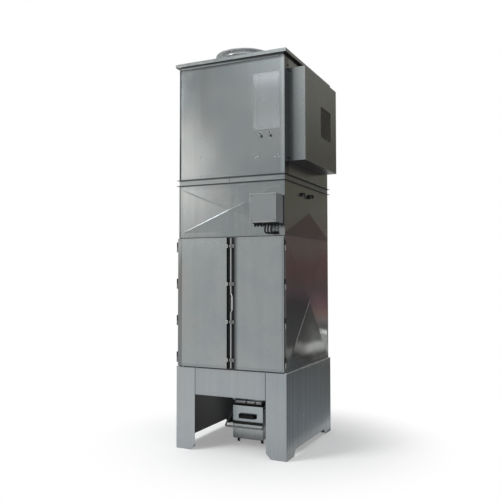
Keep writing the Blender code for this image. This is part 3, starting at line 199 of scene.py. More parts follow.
# A tree under construction that reads a carrier mesh and a few named inputs. A kind that names no
# family is one of Geometry Nodes' own.
class Rule:
    kinds = {float: "NodeSocketFloat", int: "NodeSocketInt", bpy.types.Material: "NodeSocketMaterial",
             bpy.types.Object: "NodeSocketObject"}

    def __init__(self, name, **inputs):
        self.tree = bpy.data.node_groups.new(name, "GeometryNodeTree")
        self.tree.interface.new_socket("Geometry", in_out="OUTPUT", socket_type="NodeSocketGeometry")
        self.tree.interface.new_socket("Geometry", in_out="INPUT", socket_type="NodeSocketGeometry")
        for label, value in inputs.items():
            kind = value if isinstance(value, type) else type(value)
            socket = self.tree.interface.new_socket(label, in_out="INPUT", socket_type=self.kinds[kind])
            if not isinstance(value, type):
                socket.default_value = value
        self.start = self.tree.nodes.new("NodeGroupInput")
        self.carrier = self.start.outputs["Geometry"]

    def take(self, label):
        return self.start.outputs[label]

    def add(self, kind, settings=None, sockets=None, out=0):
        node = self.tree.nodes.new(kind if "Node" in kind else "GeometryNode" + kind)
        for key, value in (settings or {}).items():
            setattr(node, key, value)
        for key, value in (sockets or {}).items():
            for each in (value if isinstance(value, list) else [value]):
                if isinstance(each, bpy.types.NodeSocket):
                    self.tree.links.new(each, node.inputs[key])
                else:
                    node.inputs[key].default_value = each
        return node.outputs[out]

    def close(self, geometry, material):
        solid = self.add("RealizeInstances", {}, {0: geometry})
        dressed = self.add("SetMaterial", {}, {0: solid, "Material": material})
        self.tree.links.new(dressed, self.tree.nodes.new("NodeGroupOutput").inputs[0])

    # Runs the tree on a carrier mesh and returns the result as a plain mesh.
    def run(self, mesh, **values):
        carrier = bpy.data.objects.new(self.tree.name, mesh)
        bpy.context.scene.collection.objects.link(carrier)
        modifier = carrier.modifiers.new("rule", "NODES")
        modifier.node_group = self.tree
        for socket in self.tree.interface.items_tree:
            if socket.in_out == "INPUT" and socket.name in values:
                modifier[socket.identifier] = values[socket.name]
        return settled(carrier)


# The plain mesh that an object's modifiers give; the object goes.
def settled(carrier):
    carrier.update_tag()
    made = bpy.data.meshes.new_from_object(carrier.evaluated_get(bpy.context.evaluated_depsgraph_get()))
    bpy.data.objects.remove(carrier, do_unlink=True)
    return made


# The same small piece set on every carrier point, its Z along the point's "facing", sized by "size".
def makeScatterRule():
    rule = Rule("repeatOnPoints", piece=bpy.types.Object, material=bpy.types.Material, seed=3, spin=0.0)
    facing = rule.add("InputNamedAttribute", {"data_type": "FLOAT_VECTOR"}, {"Name": "facing"})
    size = rule.add("InputNamedAttribute", {"data_type": "FLOAT"}, {"Name": "size"})
    turn = rule.add("FunctionNodeAlignRotationToVector", {"axis": "Z"}, {"Vector": facing})
    angle = rule.add("FunctionNodeRandomValue", {"data_type": "FLOAT"},
                     {2: 0.0, 3: rule.take("spin"), "Seed": rule.take("seed")}, out=1)
    spun = rule.add("FunctionNodeRotateRotation", {"rotation_space": "LOCAL"},
                    {0: turn, 1: rule.add("FunctionNodeAxisAngleToRotation", {},
                                          {"Axis": (0.0, 0.0, 1.0), "Angle": angle})})
    single = rule.add("ObjectInfo", {}, {0: rule.take("piece")}, out=4)
    copies = rule.add("InstanceOnPoints", {},
                      {"Points": rule.carrier, "Instance": single, "Rotation": spun, "Scale": size})
    rule.close(copies, rule.take("material"))
    return rule


# A plate cut along the carrier's closed edges, with a hole at each of its points marked "hole".
def makePunchRule():
    rule = Rule("punchedPlate", thickness=0.002, holeRadius=0.01, holeSides=4, material=bpy.types.Material)
    mark = rule.add("InputNamedAttribute", {"data_type": "BOOLEAN"}, {"Name": "hole"})
    parted = rule.add("SeparateGeometry", {"domain": "POINT"}, {0: rule.carrier, "Selection": mark})
    outline = rule.add("MeshToCurve", {}, {0: parted.node.outputs[1]})
    ring = rule.add("CurvePrimitiveCircle", {"mode": "RADIUS"},
                    {"Resolution": rule.take("holeSides"), "Radius": rule.take("holeRadius")})
    rings = rule.add("RealizeInstances", {},
                     {0: rule.add("InstanceOnPoints", {}, {"Points": parted, "Instance": ring})})
    lines = rule.add("JoinGeometry", {}, {0: [outline, rings]})
    sheet = rule.add("FillCurve", {}, {0: lines})
    walls = rule.add("ExtrudeMesh", {"mode": "FACES"},
                     {0: sheet, "Offset": (0.0, 0.0, 1.0), "Offset Scale": rule.take("thickness"),
                      "Individual": False})
    under = rule.add("FlipFaces", {}, {0: sheet})
    both = rule.add("JoinGeometry", {}, {0: [walls, under]})
    welded = rule.add("MergeByDistance", {}, {0: both, "Distance": 0.00001})
    rule.close(welded, rule.take("material"))
    return rule


# A round bar or cable along the carrier's open edges, with its corners rounded.
def makeTubeRule():
    rule = Rule("roundTube", radius=0.005, corner=0.01, cornerSteps=6, sides=20, material=bpy.types.Material)
    line = rule.add("MeshToCurve", {}, {0: rule.carrier})
    bent = rule.add("FilletCurve", {"mode": "POLY"},
                    {0: line, "Radius": rule.take("corner"), "Count": rule.take("cornerSteps"), "Limit Radius": True})
    ring = rule.add("CurvePrimitiveCircle", {"mode": "RADIUS"},
                    {"Resolution": rule.take("sides"), "Radius": rule.take("radius")})
    tube = rule.add("CurveToMesh", {}, {0: bent, 1: ring, "Fill Caps": True})
    rule.close(tube, rule.take("material"))
    return rule


# Standing pleats: a ring whose points step in and out, drawn down the carrier's edge.
def makePleatRule():
    rule = Rule("standingPleats", pleats=96, outer=0.16, inner=0.13, material=bpy.types.Material)
    line = rule.add("MeshToCurve", {}, {0: rule.carrier})
    count = rule.add("ShaderNodeMath", {"operation": "MULTIPLY"}, {0: rule.take("pleats"), 1: 2.0})
    ring = rule.add("CurvePrimitiveCircle", {"mode": "RADIUS"},
                    {"Resolution": count, "Radius": rule.take("outer")})
    odd = rule.add("ShaderNodeMath", {"operation": "MODULO"}, {0: rule.add("InputIndex"), 1: 2.0})
    ratio = rule.add("ShaderNodeMath", {"operation": "DIVIDE"}, {0: rule.take("inner"), 1: rule.take("outer")})
    place = rule.add("ShaderNodeVectorMath", {"operation": "SCALE"},
                     {0: rule.add("InputPosition"), "Scale": ratio})
    star = rule.add("SetPosition", {}, {0: ring, "Selection": odd, "Position": place})
    tube = rule.add("CurveToMesh", {}, {0: line, 1: star, "Fill Caps": True})
    rule.close(tube, rule.take("material"))
    return rule


scatterRule, punchRule, tubeRule, pleatRule = makeScatterRule(), makePunchRule(), makeTubeRule(), makePleatRule()
print("rules made")


# Meshes

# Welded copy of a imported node's mesh, its flat faces joined.
def welded(*names):
    shape = bmesh.new()
    for name in names:
        shape.from_mesh(nodes[name].data)
    bmesh.ops.remove_doubles(shape, verts=shape.verts, dist=0.00002)
    bmesh.ops.dissolve_limit(shape, angle_limit=0.008, verts=shape.verts, edges=shape.edges)
    return shape


def meshFrom(name, shape, recalc=False):
    if recalc:
        bmesh.ops.remove_doubles(shape, verts=shape.verts, dist=0.000005)
        bmesh.ops.recalc_face_normals(shape, faces=shape.faces)
    mesh = bpy.data.meshes.new(name)
    shape.to_mesh(mesh)
    shape.free()
    return mesh


def soften(mesh, sharp=32.0):
    mesh.shade_smooth()
    mesh.set_sharp_from_angle(angle=math.radians(sharp))
    return mesh


# Makes a mesh a piece of the object: its finish, the body it rides on and the nodes it stands for.
def putPiece(name, mesh, finish, body="collector", stands=(), sharp=32.0):
    mesh.materials.clear()
    mesh.materials.append(finish)
    soften(mesh, sharp)
    piece = bpy.data.objects.new(name, mesh)
    bpy.context.scene.collection.objects.link(piece)
    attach(piece, body)
    if stands:
        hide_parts(*stands)
    return piece


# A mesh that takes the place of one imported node.
def standFor(node, mesh, finish, sharp=32.0):
    return putPiece(node + "_finished", mesh, finish, bodyOf[node], (node,), sharp)


# Rounds a piece's sharp edges.
def eased(piece, width, angle, steps=2):
    bevel = piece.modifiers.new("edges", "BEVEL")
    bevel.limit_method, bevel.angle_limit, bevel.width, bevel.segments = "ANGLE", math.radians(angle), width, steps
    return bevel


# The node again with its edges rounded, as folded and pressed sheet has them. Faces that a patch
# test picks get the patch's own finish.
def refine(node, edge, finish, patches=()):
    piece = standFor(node, meshFrom(node, welded(node)), finish)
    for other, inside in patches:
        piece.data.materials.append(other)
        for face in piece.data.polygons:
            if inside(face.center, face.normal):
                face.material_index = len(piece.data.materials) - 1
    eased(piece, edge, 34.0).harden_normals = True


def frameTo(at, along):
    along = Vector(along).normalized()
    if abs(along.z) > 0.999:
        return Matrix.Translation(at) @ Matrix.Rotation(0.0 if along.z > 0 else math.pi, 4, "X")
    return Matrix.Translation(at) @ along.to_track_quat("Z", "Y").to_matrix().to_4x4()


# Skins rings of corners one after another and caps both ends.
def skinned(shape, rings):
    count = len(rings[0])
    for lower, upper in zip(rings, rings[1:]):
        for k in range(count):
            shape.faces.new((lower[k], lower[(k + 1) % count], upper[(k + 1) % count], upper[k]))
    shape.faces.new(list(reversed(rings[0])))
    shape.faces.new(rings[-1])


# Rounded rectangles stacked along a line: (half width, half depth, corner radius, height) each.
def stacked(shape, levels, at, along, cornerSteps=4):
    place = frameTo(at, along)
    rings = []
    for a, b, r, h in levels:
        ring = []
        for quarter, (u, v) in enumerate(((1, 1), (-1, 1), (-1, -1), (1, -1))):
            for k in range(cornerSteps + 1):
                angle = math.pi / 2 * (quarter + k / cornerSteps)
                ring.append(shape.verts.new(place @ Vector((u * (a - r) + r * math.cos(angle),
                                                            v * (b - r) + r * math.sin(angle), h))))
        rings.append(ring)
    skinned(shape, rings)


# A flat bar along a path in one plane, its width across that plane.
def flatBar(shape, path, width, thick, across, chamfer=0.0006):
    across = Vector(across).normalized()
    path = [Vector(point) for point in path]
    rings = []
    for k, point in enumerate(path):
        before = (point - path[k - 1]).normalized() if k else (path[1] - point).normalized()
        after = (path[k + 1] - point).normalized() if k < len(path) - 1 else before
        heading = (before + after).normalized()
        out = heading.cross(across) / max(0.5, heading.dot(before))
        a, b, c = width / 2, thick / 2, chamfer
        corners = ((a - c, b), (a, b - c), (a, c - b), (a - c, -b), (c - a, -b), (-a, c - b), (-a, b - c), (c - a, b))
        rings.append([shape.verts.new(point + across * u + out * v) for u, v in corners])
    skinned(shape, rings)


# A path with its corners rounded by short chords.
def rounded(points, radius, steps=6):
    points = [Vector(point) for point in points]
    path = [points[0]]
    for before, corner, after in zip(points, points[1:], points[2:]):
        back, on = (before - corner).normalized(), (after - corner).normalized()
        half = back.angle(on) / 2
        reach = radius / math.tan(half)
        centre = corner + (back + on).normalized() * radius / math.sin(half)
        first, last = corner + back * reach - centre, corner + on * reach - centre
        for k in range(steps + 1):
            path.append(centre + first.slerp(last, k / steps).normalized() * radius)
    return path + [points[-1]]


# A profile of (radius, height) turned about a line; a closed one is a ring, an open one ends on it.
def turned(shape, profile, at, along, steps=48, closed=False):
    place = frameTo(at, along)
    rings = []
    for k in range(steps):
        angle = 2 * math.pi * k / steps
        rings.append([shape.verts.new(place @ Vector((r * math.cos(angle), r * math.sin(angle), h)))
                      for r, h in profile])
    last = len(profile) if closed else len(profile) - 1
    for k, ring in enumerate(rings):
        following = rings[(k + 1) % steps]
        for i in range(last):
            j = (i + 1) % len(profile)
            shape.faces.new((ring[i], following[i], following[j], ring[j]))


# A straight bar of a few sides with chamfered ends, such as a nut or a bolt head.
def sided(shape, radius, low, high, at, along, sides=6, chamfer=0.0, turn=0.0):
    place = frameTo(at, along) @ Matrix.Rotation(turn, 4, "Z")
    angles = [2 * math.pi * k / sides for k in range(sides)]
    levels = [(radius - chamfer, low), (radius, low + chamfer * 0.6), (radius, high - chamfer * 0.6),
              (radius - chamfer, high)]
    skinned(shape, [[shape.verts.new(place @ Vector((r * math.cos(a), r * math.sin(a), h))) for a in angles]
                    for r, h in levels])


def slab(shape, low, high, edge=0.0, steps=2):
    made = bmesh.ops.create_cube(shape, size=1.0)["verts"]
    for vert in made:
        vert.co = Vector([low[i] + (vert.co[i] + 0.5) * (high[i] - low[i]) for i in range(3)])
    if edge:
        edges = dict.fromkeys(e for vert in made for e in vert.link_edges)       # each once, in a fixed order
        bmesh.ops.bevel(shape, geom=list(edges), offset=edge, segments=steps, profile=0.5, affect="EDGES",
                        clamp_overlap=True)


# A mesh that is one turned profile.
def lathed(name, profile, at, along, steps, closed=False):
    shape = bmesh.new()
    turned(shape, profile, at, along, steps, closed)
    return meshFrom(name, shape, True)


# Points for the repeat rule: (place, facing) or (place, facing, size).
def pointMesh(rows):
    mesh = bpy.data.meshes.new("points")
    mesh.from_pydata([row[0] for row in rows], [], [])
    mesh.attributes.new("facing", "FLOAT_VECTOR", "POINT")
    mesh.attributes.new("size", "FLOAT", "POINT")
    for k, row in enumerate(rows):
        mesh.attributes["facing"].data[k].vector = row[1]
        mesh.attributes["size"].data[k].value = row[2] if len(row) > 2 else 1.0
    return mesh


def lineMesh(points):
    mesh = bpy.data.meshes.new("line")
    mesh.from_pydata([tuple(point) for point in points], [(k, k + 1) for k in range(len(points) - 1)], [])
    return mesh


def joined(name, *meshes):
    shape = bmesh.new()
    for mesh in meshes:
        shape.from_mesh(mesh)
    return meshFrom(name, shape)


# Repeats a small mesh on the rows of points.
def repeat(name, small, rows, finish, seed=3, spin=0.0):
    single = bpy.data.objects.new("single", small)
    mesh = scatterRule.run(pointMesh(rows), piece=single, material=finish, seed=seed, spin=spin)
    mesh.name = name
    bpy.data.objects.remove(single)
    return mesh


# The same as one piece, in a slot's usual finish.
def scatter(name, small, rows, slot, body="collector", seed=3, spin=0.0):
    putPiece(name, repeat(name, small, rows, finishOf[slot], seed, spin), finishOf[slot], body)


def tube(points, radius, corner, finish, sides, cornerSteps):
    return tubeRule.run(lineMesh(points), radius=radius, corner=corner, cornerSteps=cornerSteps, sides=sides,
                        material=finish)


def spread(first, last, pitch):        # evenly spaced numbers from first to last, about a pitch apart
    count = max(1, round(abs(last - first) / pitch))
    return [first + (last - first) * k / count for k in range(count + 1)]


# Finishes

# A cross-broken sheet's flat margin and pressed creases, rising and falling, in front and at the sides.
crossBreak = {"sheet": 0.002, "margin": 0.040, "creaseWidth": 0.0042, "grid": 0.085,
              "frontCrease": (0.0016, 0.0007), "sideCrease": (0.0010, 0.0004),
              "strips": (0.0, 0.0014, 0.0028, 0.0043, 0.0062, 0.009, 0.012, 0.016),
              "bend": (-0.0025, 0.0, 0.0025), "fade": 0.006, "rearShare": 0.5}
sheetLooks = {
    "galvanised_sheet": {"tone": (0.300, 0.333, 0.344), "warm": (0.318, 0.336, 0.336), "rough": 0.24,
                         "streaks": 0.012, "bands": 0.05, "clouds": 0.07, "spangle": 0.022, "waves": 0.010},
    "brushed_sheet": {"tone": (0.318, 0.350, 0.368), "warm": (0.330, 0.350, 0.358), "rough": 0.25,
                      "streaks": 0.010, "bands": 0.08, "clouds": 0.06, "spangle": 0.0, "waves": 0.006},
}
# How pale and how sharp in reflection a sheet is, where it isn't as its look says.
sheetTones = {"right_door": 0.98, "plenum_front": 0.82, "service_plate": 0.87, "fan_front_panel": 0.85,
              "section_joint_frame": 0.86, "dust_bin": 1.18, "base_side_left": 1.12, "base_side_right": 1.04,
              "roof_cap": 1.12, "fan_enclosure": 0.90, "hopper": 1.5}
sheetSheen = {"section_joint_frame": 0.34, "filter_side_right": 0.09, "plenum_side_right": 0.19,
              "filter_side_left": 0.17, "plenum_side_left": 0.19, "fan_front_panel": 0.20, "plenum_front": 0.20}


# A node's own seams, hems and gaps, and the painted shade, shadows, highlights and reflections on single sheets, as the
# share of black in its tone. Below 0 it is paler.
def stripe(make, axis, at, half, soft=0.0006):
    here = make.axis(axis) - at
    return make.fall(here.most(here * -1.0), half, half + soft)


def jointSeamsAndShade(make, low, high):
    # Painted shade darkens the lips and their edges, and a painted shadow falls on the web under the upper lip; the gap
    # is a dark joint.
    near = make.inwards(1, low, high).least(make.inwards(0, low, high))
    edges = make.fall(near, 0.0018, 0.0024) * 0.78
    gap = stripe(make, 0, -0.0648, 0.0014) * make.fall(make.axis(1), -0.1, 0.0)
    shadedLips = make.fall(near, 0.0165, 0.0172) * 0.5
    shade = make.step(make.axis(2), high.z - 0.016, high.z - 0.005) * 0.45
    return edges.most(gap * 0.8).most(shadedLips).most(shade)


def frameSeams(make, low, high):
    z = make.axis(2)
    return make.fall(z, 0.7110, 0.7116).most(make.step(z, 1.8134, 1.8140)) * 0.82


def topFrameEdgeAndHighlight(make, low, high):
    # A darker line along the front edge, and a paler painted highlight along the right ledge.
    front = make.fall(make.axis(1) - low.y, 0.0015, 0.0022)
    ledgeHighlight = make.fall(high.x - make.axis(0), 0.0160, 0.0170)
    return front * 0.6 - ledgeHighlight * 1.6


def fasciaSeams(make, low, high):
    return make.fall(make.inwards(0, low, high), 0.0045, 0.0060) * 0.66


def baseShadeAndBands(make, low, high):
    # Painted shade darkens the rear foot, broad vertical bands of random tone run along the outer face, and a painted
    # highlight makes the top of the outer face paler.
    foot = make.fall(make.axis(2), 0.020, 0.030) * make.step(make.axis(1), 0.48, 0.50) * 0.75
    wide = make.add("TexNoise", {"noise_dimensions": "1D"}, {"W": make.axis(1) * 9.0, "Detail": 2.0})
    outer = make.step(make.axis(0), 0.450, 0.454)
    lip = make.step(make.axis(2), high.z - 0.0055, high.z - 0.0045) * outer
    return foot.most(make.step(wide, 0.44, 0.62) * outer * 0.26) - lip * 1.1


def fanShadeAndHighlights(make, low, high):
    # Painted light and shade: a shaded line down the left edge, a painted shadow under the roof, painted shade along
    # the foot by the joint, painted highlights along the right fold and rim, and a paler painted reflection at the
    # upper left.
    edge = make.fall(make.axis(0) - low.x, 0.0165, 0.0180)
    foldHighlight = make.step(make.axis(0), high.x - 0.038, high.x - 0.034)
    rim = stripe(make, 0, high.x - 0.0140, 0.0050, 0.003)
    roofShade = make.fall(high.z - make.axis(2), 0.002, 0.030)
    lipShade = make.fall(make.axis(2) - low.z, 0.003, 0.006)
    glow = make.fall(make.axis(0), -0.45, -0.27) * make.step(make.axis(2), 2.50, 2.85)
    return (edge * 0.88).most(roofShade * 0.66).most(lipShade * 0.5) - rim * 0.20 - foldHighlight * 0.16 - glow * 0.25


# Painted reflection on the plate.
def plateReflection(make, low, high):      # paler towards its top, and a little towards its foot
    z = make.axis(2)
    return make.step(z, 3.03, 3.17) * -0.44 - make.fall(z, 2.69, 2.93) * 0.22


def fanSideShade(make, low, high):
    # Painted shade on the strip between the front corner and the enclosure.
    return make.fall(make.axis(1), -0.440, -0.430) * 0.55


# Painted shade, darker towards the casing.
def enclosureShade(make, low, high):  # the corner by the casing is in shade
    return make.fall(make.axis(0), 0.43, 0.60) * 0.54


def binShade(make, low, high):
    # Painted shade: darker towards the bottom.
    return make.fall(make.axis(2), 0.050, 0.150) * 0.5


# Painted reflection: the lowest of the four slopes is darker.
def plenumSideReflection(make, low, high):  # the lowest of its four slopes faces a darker part of the hall
    centre, inner = (low + high) / 2, (high - low) / 2 - Vector((0, 1, 1)) * crossBreak["margin"]
    across = (make.axis(1) - centre.y) / inner.y
    down = (centre.z - make.axis(2)) / inner.z
    return make.step(down - across.most(across * -1.0), 0.0, 0.03) * 0.47


def plenumShade(make, low, high):
    # Painted shade: a dark line down the left edge and a painted shadow under the lip at the top.
    edge = make.fall(make.axis(0) - low.x, 0.0110, 0.0130)
    lipShade = make.fall(high.z - make.axis(2), 0.003, 0.007)
    return (edge * 0.72).most(lipShade * 0.5)


def hemLines(make, low):
    return stripe(make, 2, low.z + 0.0105, 0.0011).most(stripe(make, 2, low.z + 0.0185, 0.0009)) * 0.3


def leftDoorShadeAndHems(make, low, high):
    # Painted shade darkens the hinge-side margin; the hem lines are dark lines in the sheet.
    margin = make.fall(make.axis(0), -0.5150, -0.5142)
    return (margin * 0.42).most(hemLines(make, low))


def rightDoorShadowAndHems(make, low, high):
    # A painted shadow along the edge by the lock rod, and the hem lines.
    shadow = make.fall(make.axis(0), -0.012, 0.036) * 0.8
    return shadow.most(hemLines(make, low))


sheetSeamsAndShade = {"section_joint_frame": jointSeamsAndShade, "fan_front_panel": fanShadeAndHighlights, "plenum_front": plenumShade,
              "fan_side_right": fanSideShade, "fan_enclosure": enclosureShade, "dust_bin": binShade,
              "service_plate": plateReflection, "plenum_side_right": plenumSideReflection, "door_frame": frameSeams,
              "left_door": leftDoorShadeAndHems, "right_door": rightDoorShadowAndHems, "base_top_frame": topFrameEdgeAndHighlight,
              "base_front_fascia": fasciaSeams, "base_side_left": baseShadeAndBands, "base_side_right": baseShadeAndBands}


# Rolled zinc sheet: streaks along the rolling direction, spangle, broad clouds and handled edges, with a node's own
# seams and its painted shade and light laid over them.
def sheetFinish(name, look, low, high, rolling=2, gain=1.0, seamsAndShade=None, sheen=None):
    make = Finish(name)
    fineScale, bandScale = [420.0] * 3, [26.0] * 3
    fineScale[rolling], bandScale[rolling] = 6.0, 0.8
    fine = make.noise(1.0, 3.0, 0.6, stretch=tuple(fineScale))
    band = make.noise(1.0, 2.0, 0.5, stretch=tuple(bandScale))
    cloud = make.noise(2.6, 4.0, 0.55)
    smudge = make.noise(9.0, 5.0, 0.6, shift=(0.4, 0.1, 0.7))
    crystal = make.add("TexVoronoi", {"feature": "F1"}, {"Vector": make.place(), "Scale": 85.0}, out=1)
    spark = make.add("SeparateColor", {}, {0: crystal})
    size = high - low
    first, second = sorted(range(3), key=lambda k: size[k])[1:]
    edge = make.inwards(first, low, high).least(make.inwards(second, low, high))
    rim = make.fall(edge + (smudge - 0.5) * 0.03, 0.0, 0.04)
    marks = make.step(smudge, 0.58, 0.72)
    tone = make.blend(make.step(cloud, 0.35, 0.65), look["tone"], look["warm"])
    amount = (gain + (fine - 0.5) * look["streaks"] * 2 + (band - 0.5) * look["bands"] * 2
              + (cloud - 0.5) * look["clouds"] * 2 + (spark - 0.5) * look["spangle"] * 2 - rim * 0.05 - marks * 0.02)
    if seamsAndShade is not None:
        amount = amount * (1.0 - seamsAndShade(make, low, high))
    rough = (sheen or look["rough"]) + (fine - 0.5) * 0.05 + (cloud - 0.5) * 0.07 + rim * 0.03 + marks * 0.03
    waves = make.bump(make.noise(1.7, 1.0, 0.4), look["waves"])
    normal = make.bump(fine, 0.00003, waves)
    return make.wear(Base_Color=make.shade(tone, amount), Roughness=rough, Metallic=1.0, Normal=normal)


def brightFinish(name, tone=(0.52, 0.535, 0.55), rough=0.27):
    make = Finish(name)                # bright zinc plate, with a faint haze and handling marks
    haze = make.noise(14.0, 4.0, 0.6)
    rub = make.noise(1.0, 2.0, 0.6, stretch=(160, 160, 40))
    amount = 1.0 + (haze - 0.5) * 0.18 + (rub - 0.5) * 0.12
    coat = make.blend(make.step(haze, 0.4, 0.7), tone, (tone[0] * 1.02, tone[1] * 0.99, tone[2] * 0.94))
    return make.wear(Base_Color=make.shade(coat, amount), Roughness=rough + (rub - 0.5) * 0.16,
                     Metallic=1.0, Normal=make.bump(rub, 0.00008))


def dullSteelFinish(name, tone=(0.19, 0.195, 0.2)):
    make = Finish(name)                # dull bar steel with mill scale
    scale = make.noise(38.0, 5.0, 0.6)
    amount = 1.0 + (scale - 0.5) * 0.5
    coat = make.blend(make.step(scale, 0.45, 0.7), tone, (tone[0] * 1.05, tone[1] * 0.98, tone[2] * 0.9))
    return make.wear(Base_Color=make.shade(coat, amount), Roughness=0.42 + (scale - 0.5) * 0.2,
                     Metallic=0.9, Normal=make.bump(scale, 0.0002))


def blackFinish(name, tone=(0.006, 0.006, 0.007), rough=0.5, grain=260.0):
    make = Finish(name)                # black plastic or rubber with a fine moulded grain and a little dust
    make.shader.inputs["Specular IOR Level"].default_value = 0.22
    skin = make.noise(grain, 3.0, 0.55)
    dust = make.noise(9.0, 4.0, 0.6)
    coat = make.blend(make.step(dust, 0.5, 0.85) * 0.35, tone, (0.030, 0.030, 0.029))
    return make.wear(Base_Color=coat, Roughness=rough + (skin - 0.5) * 0.2 + (dust - 0.5) * 0.15,
                     Normal=make.bump(skin, 0.0002))


def enamelFinish(name, tone=(0.215, 0.232, 0.236)):
    make = Finish(name)                # light grey box paint with orange peel
    peel = make.noise(210.0, 2.0, 0.4)
    cloud = make.noise(7.0, 3.0, 0.5)
    coat = make.blend(cloud, tone, (tone[0] * 0.94, tone[1] * 0.95, tone[2] * 0.96))
    return make.wear(Base_Color=coat, Roughness=0.42 + (cloud - 0.5) * 0.16, Normal=make.bump(peel, 0.0002))


def feltFinish(name):
    make = Finish(name)                # needle felt of the pleats, a little loaded with dust
    fibre = make.noise(420.0, 4.0, 0.7)
    load = make.noise(5.0, 4.0, 0.6)
    coat = make.blend(make.step(load, 0.35, 0.75), (0.62, 0.61, 0.56), (0.47, 0.45, 0.40))
    return make.wear(Base_Color=make.shade(coat, 0.9 + fibre * 0.2), Roughness=0.95, Normal=make.bump(fibre, 0.0005))


brightZinc, barSteel = brightFinish("brightZinc"), dullSteelFinish("barSteel")
blackRubber, blackPlastic = blackFinish("blackRubber", rough=0.68, grain=420.0), blackFinish("blackPlastic")
boxEnamel, needleFelt = enamelFinish("boxEnamel"), feltFinish("needleFelt")
# Dark sheet for small dark parts, and as painted shade at the doors' hinge edges.
darkSheet = dullSteelFinish("darkSheet", (0.030, 0.030, 0.029))
# Painted shade: a dark sheet on inner faces under and inside the casing.
innerSheet = dullSteelFinish("innerSheet", (0.056, 0.058, 0.059))
meshSheet = dullSteelFinish("meshSheet", (0.17, 0.17, 0.16))
leverSteel = dullSteelFinish("leverSteel", (0.26, 0.265, 0.27))
# Painted shade: a darker copy of the bar steel for the right door's guides.
guideSteel = dullSteelFinish("guideSteel", (0.15, 0.155, 0.16))
keeperZinc = brightFinish("keeperZinc", (0.38, 0.39, 0.39), 0.34)
rodZinc = brightFinish("rodZinc", (0.38, 0.39, 0.395), 0.30)
# A paler zinc on the spigot that stands in for its bright reflection: a painted highlight.
outletZinc = brightFinish("outletZinc", (0.68, 0.69, 0.70), 0.22)
lockNickel = brightFinish("lockNickel", (0.88, 0.89, 0.89), 0.30)
rimEnamel = enamelFinish("rimEnamel", (0.31, 0.315, 0.305))
gasketRubber = blackFinish("gasketRubber", (0.020, 0.023, 0.024), 0.6)
bandRubber = blackFinish("bandRubber", (0.038, 0.039, 0.040), 0.6)
ownFinish = {"door_gasket": gasketRubber, "bin_band": bandRubber}
finishOf = {"bright_steel": brightZinc, "bar_steel": barSteel, "black_rubber": blackRubber,
            "black_plastic": blackPlastic, "box_enamel": boxEnamel, "filter_medium": needleFelt,
            "dark_sheet": darkSheet}


def nodeFinish(node):
    slot = slotOf[node]
    if slot not in sheetLooks:
        return ownFinish.get(node, finishOf[slot])
    low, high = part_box(node)
    rolling = 0 if high.z - low.z < 0.06 else 2          # flat sheets are rolled along X, the others along Z
    return sheetFinish(node + "_sheet", sheetLooks[slot], low, high, rolling, sheetTones.get(node, 1.0),
                       sheetSeamsAndShade.get(node), sheetSheen.get(node))


for node, piece in nodes.items():
    piece.data.materials.clear()
    piece.data.materials.append(nodeFinish(node))


def worn(node):
    return nodes[node].data.materials[0]


print("finishes made")


# Casing sheets: the folded edges of every flat one

sheetEdges = {
    "base_side_left": 0.0024, "base_side_right": 0.0024, "base_front_fascia": 0.0026, "base_rear_fascia": 0.0026,
    "base_top_frame": 0.0012, "door_frame": 0.0008, "door_gasket": 0.0008, "filter_rear_panel": 0.0008,
    "tube_sheet": 0.0010, "hopper": 0.0009, "hopper_outlet_flange": 0.0015, "outlet_gasket": 0.0020,
    "section_joint_frame": 0.0012, "fan_front_panel": 0.0009, "fan_rear_panel": 0.0009, "fan_side_left": 0.0009,
    "fan_side_right": 0.0009, "fan_enclosure": 0.0009, "roof_cap": 0.0009, "left_door": 0.0008, "right_door": 0.0008,
    "left_hinge_strip": 0.0006, "right_hinge_strip": 0.0006, "dust_bin": 0.0009, "bin_band": 0.0010,
    "control_box": 0.0020,
}
# Faces that take another finish. Painted shade: the darker guide steel on the right door's guides, the dark sheet at
# both doors' hinge edges, and the dark inner faces of the base, the enclosure and the roof. The keepers on the left
# door are zinc, and the outlet flange's front is bar steel.
sheetPatches = {
    "left_door": [(keeperZinc, lambda at, out: at.y < -0.5577 and at.x > -0.0850),
                  (darkSheet, lambda at, out: at.x < -0.5577)],
    "right_door": [(guideSteel, lambda at, out: at.y < -0.5577 and at.x < 0.0),
                   (darkSheet, lambda at, out: at.x > 0.4388)],
    "base_side_left": [(innerSheet, lambda at, out: out.x > 0.7)],
    "base_side_right": [(innerSheet, lambda at, out: out.x < -0.7)],
    "base_rear_fascia": [(innerSheet, lambda at, out: out.y < -0.7)],
    "fan_enclosure": [(innerSheet, lambda at, out: out.z < -0.7)],
    "roof_cap": [(innerSheet, lambda at, out: out.z < -0.7)],
    "hopper_outlet_flange": [(barSteel, lambda at, out: out.y < -0.7)],
}
for node, edge in sheetEdges.items():
    refine(node, edge, worn(node), patches=sheetPatches.get(node, ()))
print("sheets rounded:", len(sheetEdges))


# Cross-broken sheets: a flat margin, four slopes to the middle and a pressed crease on each diagonal

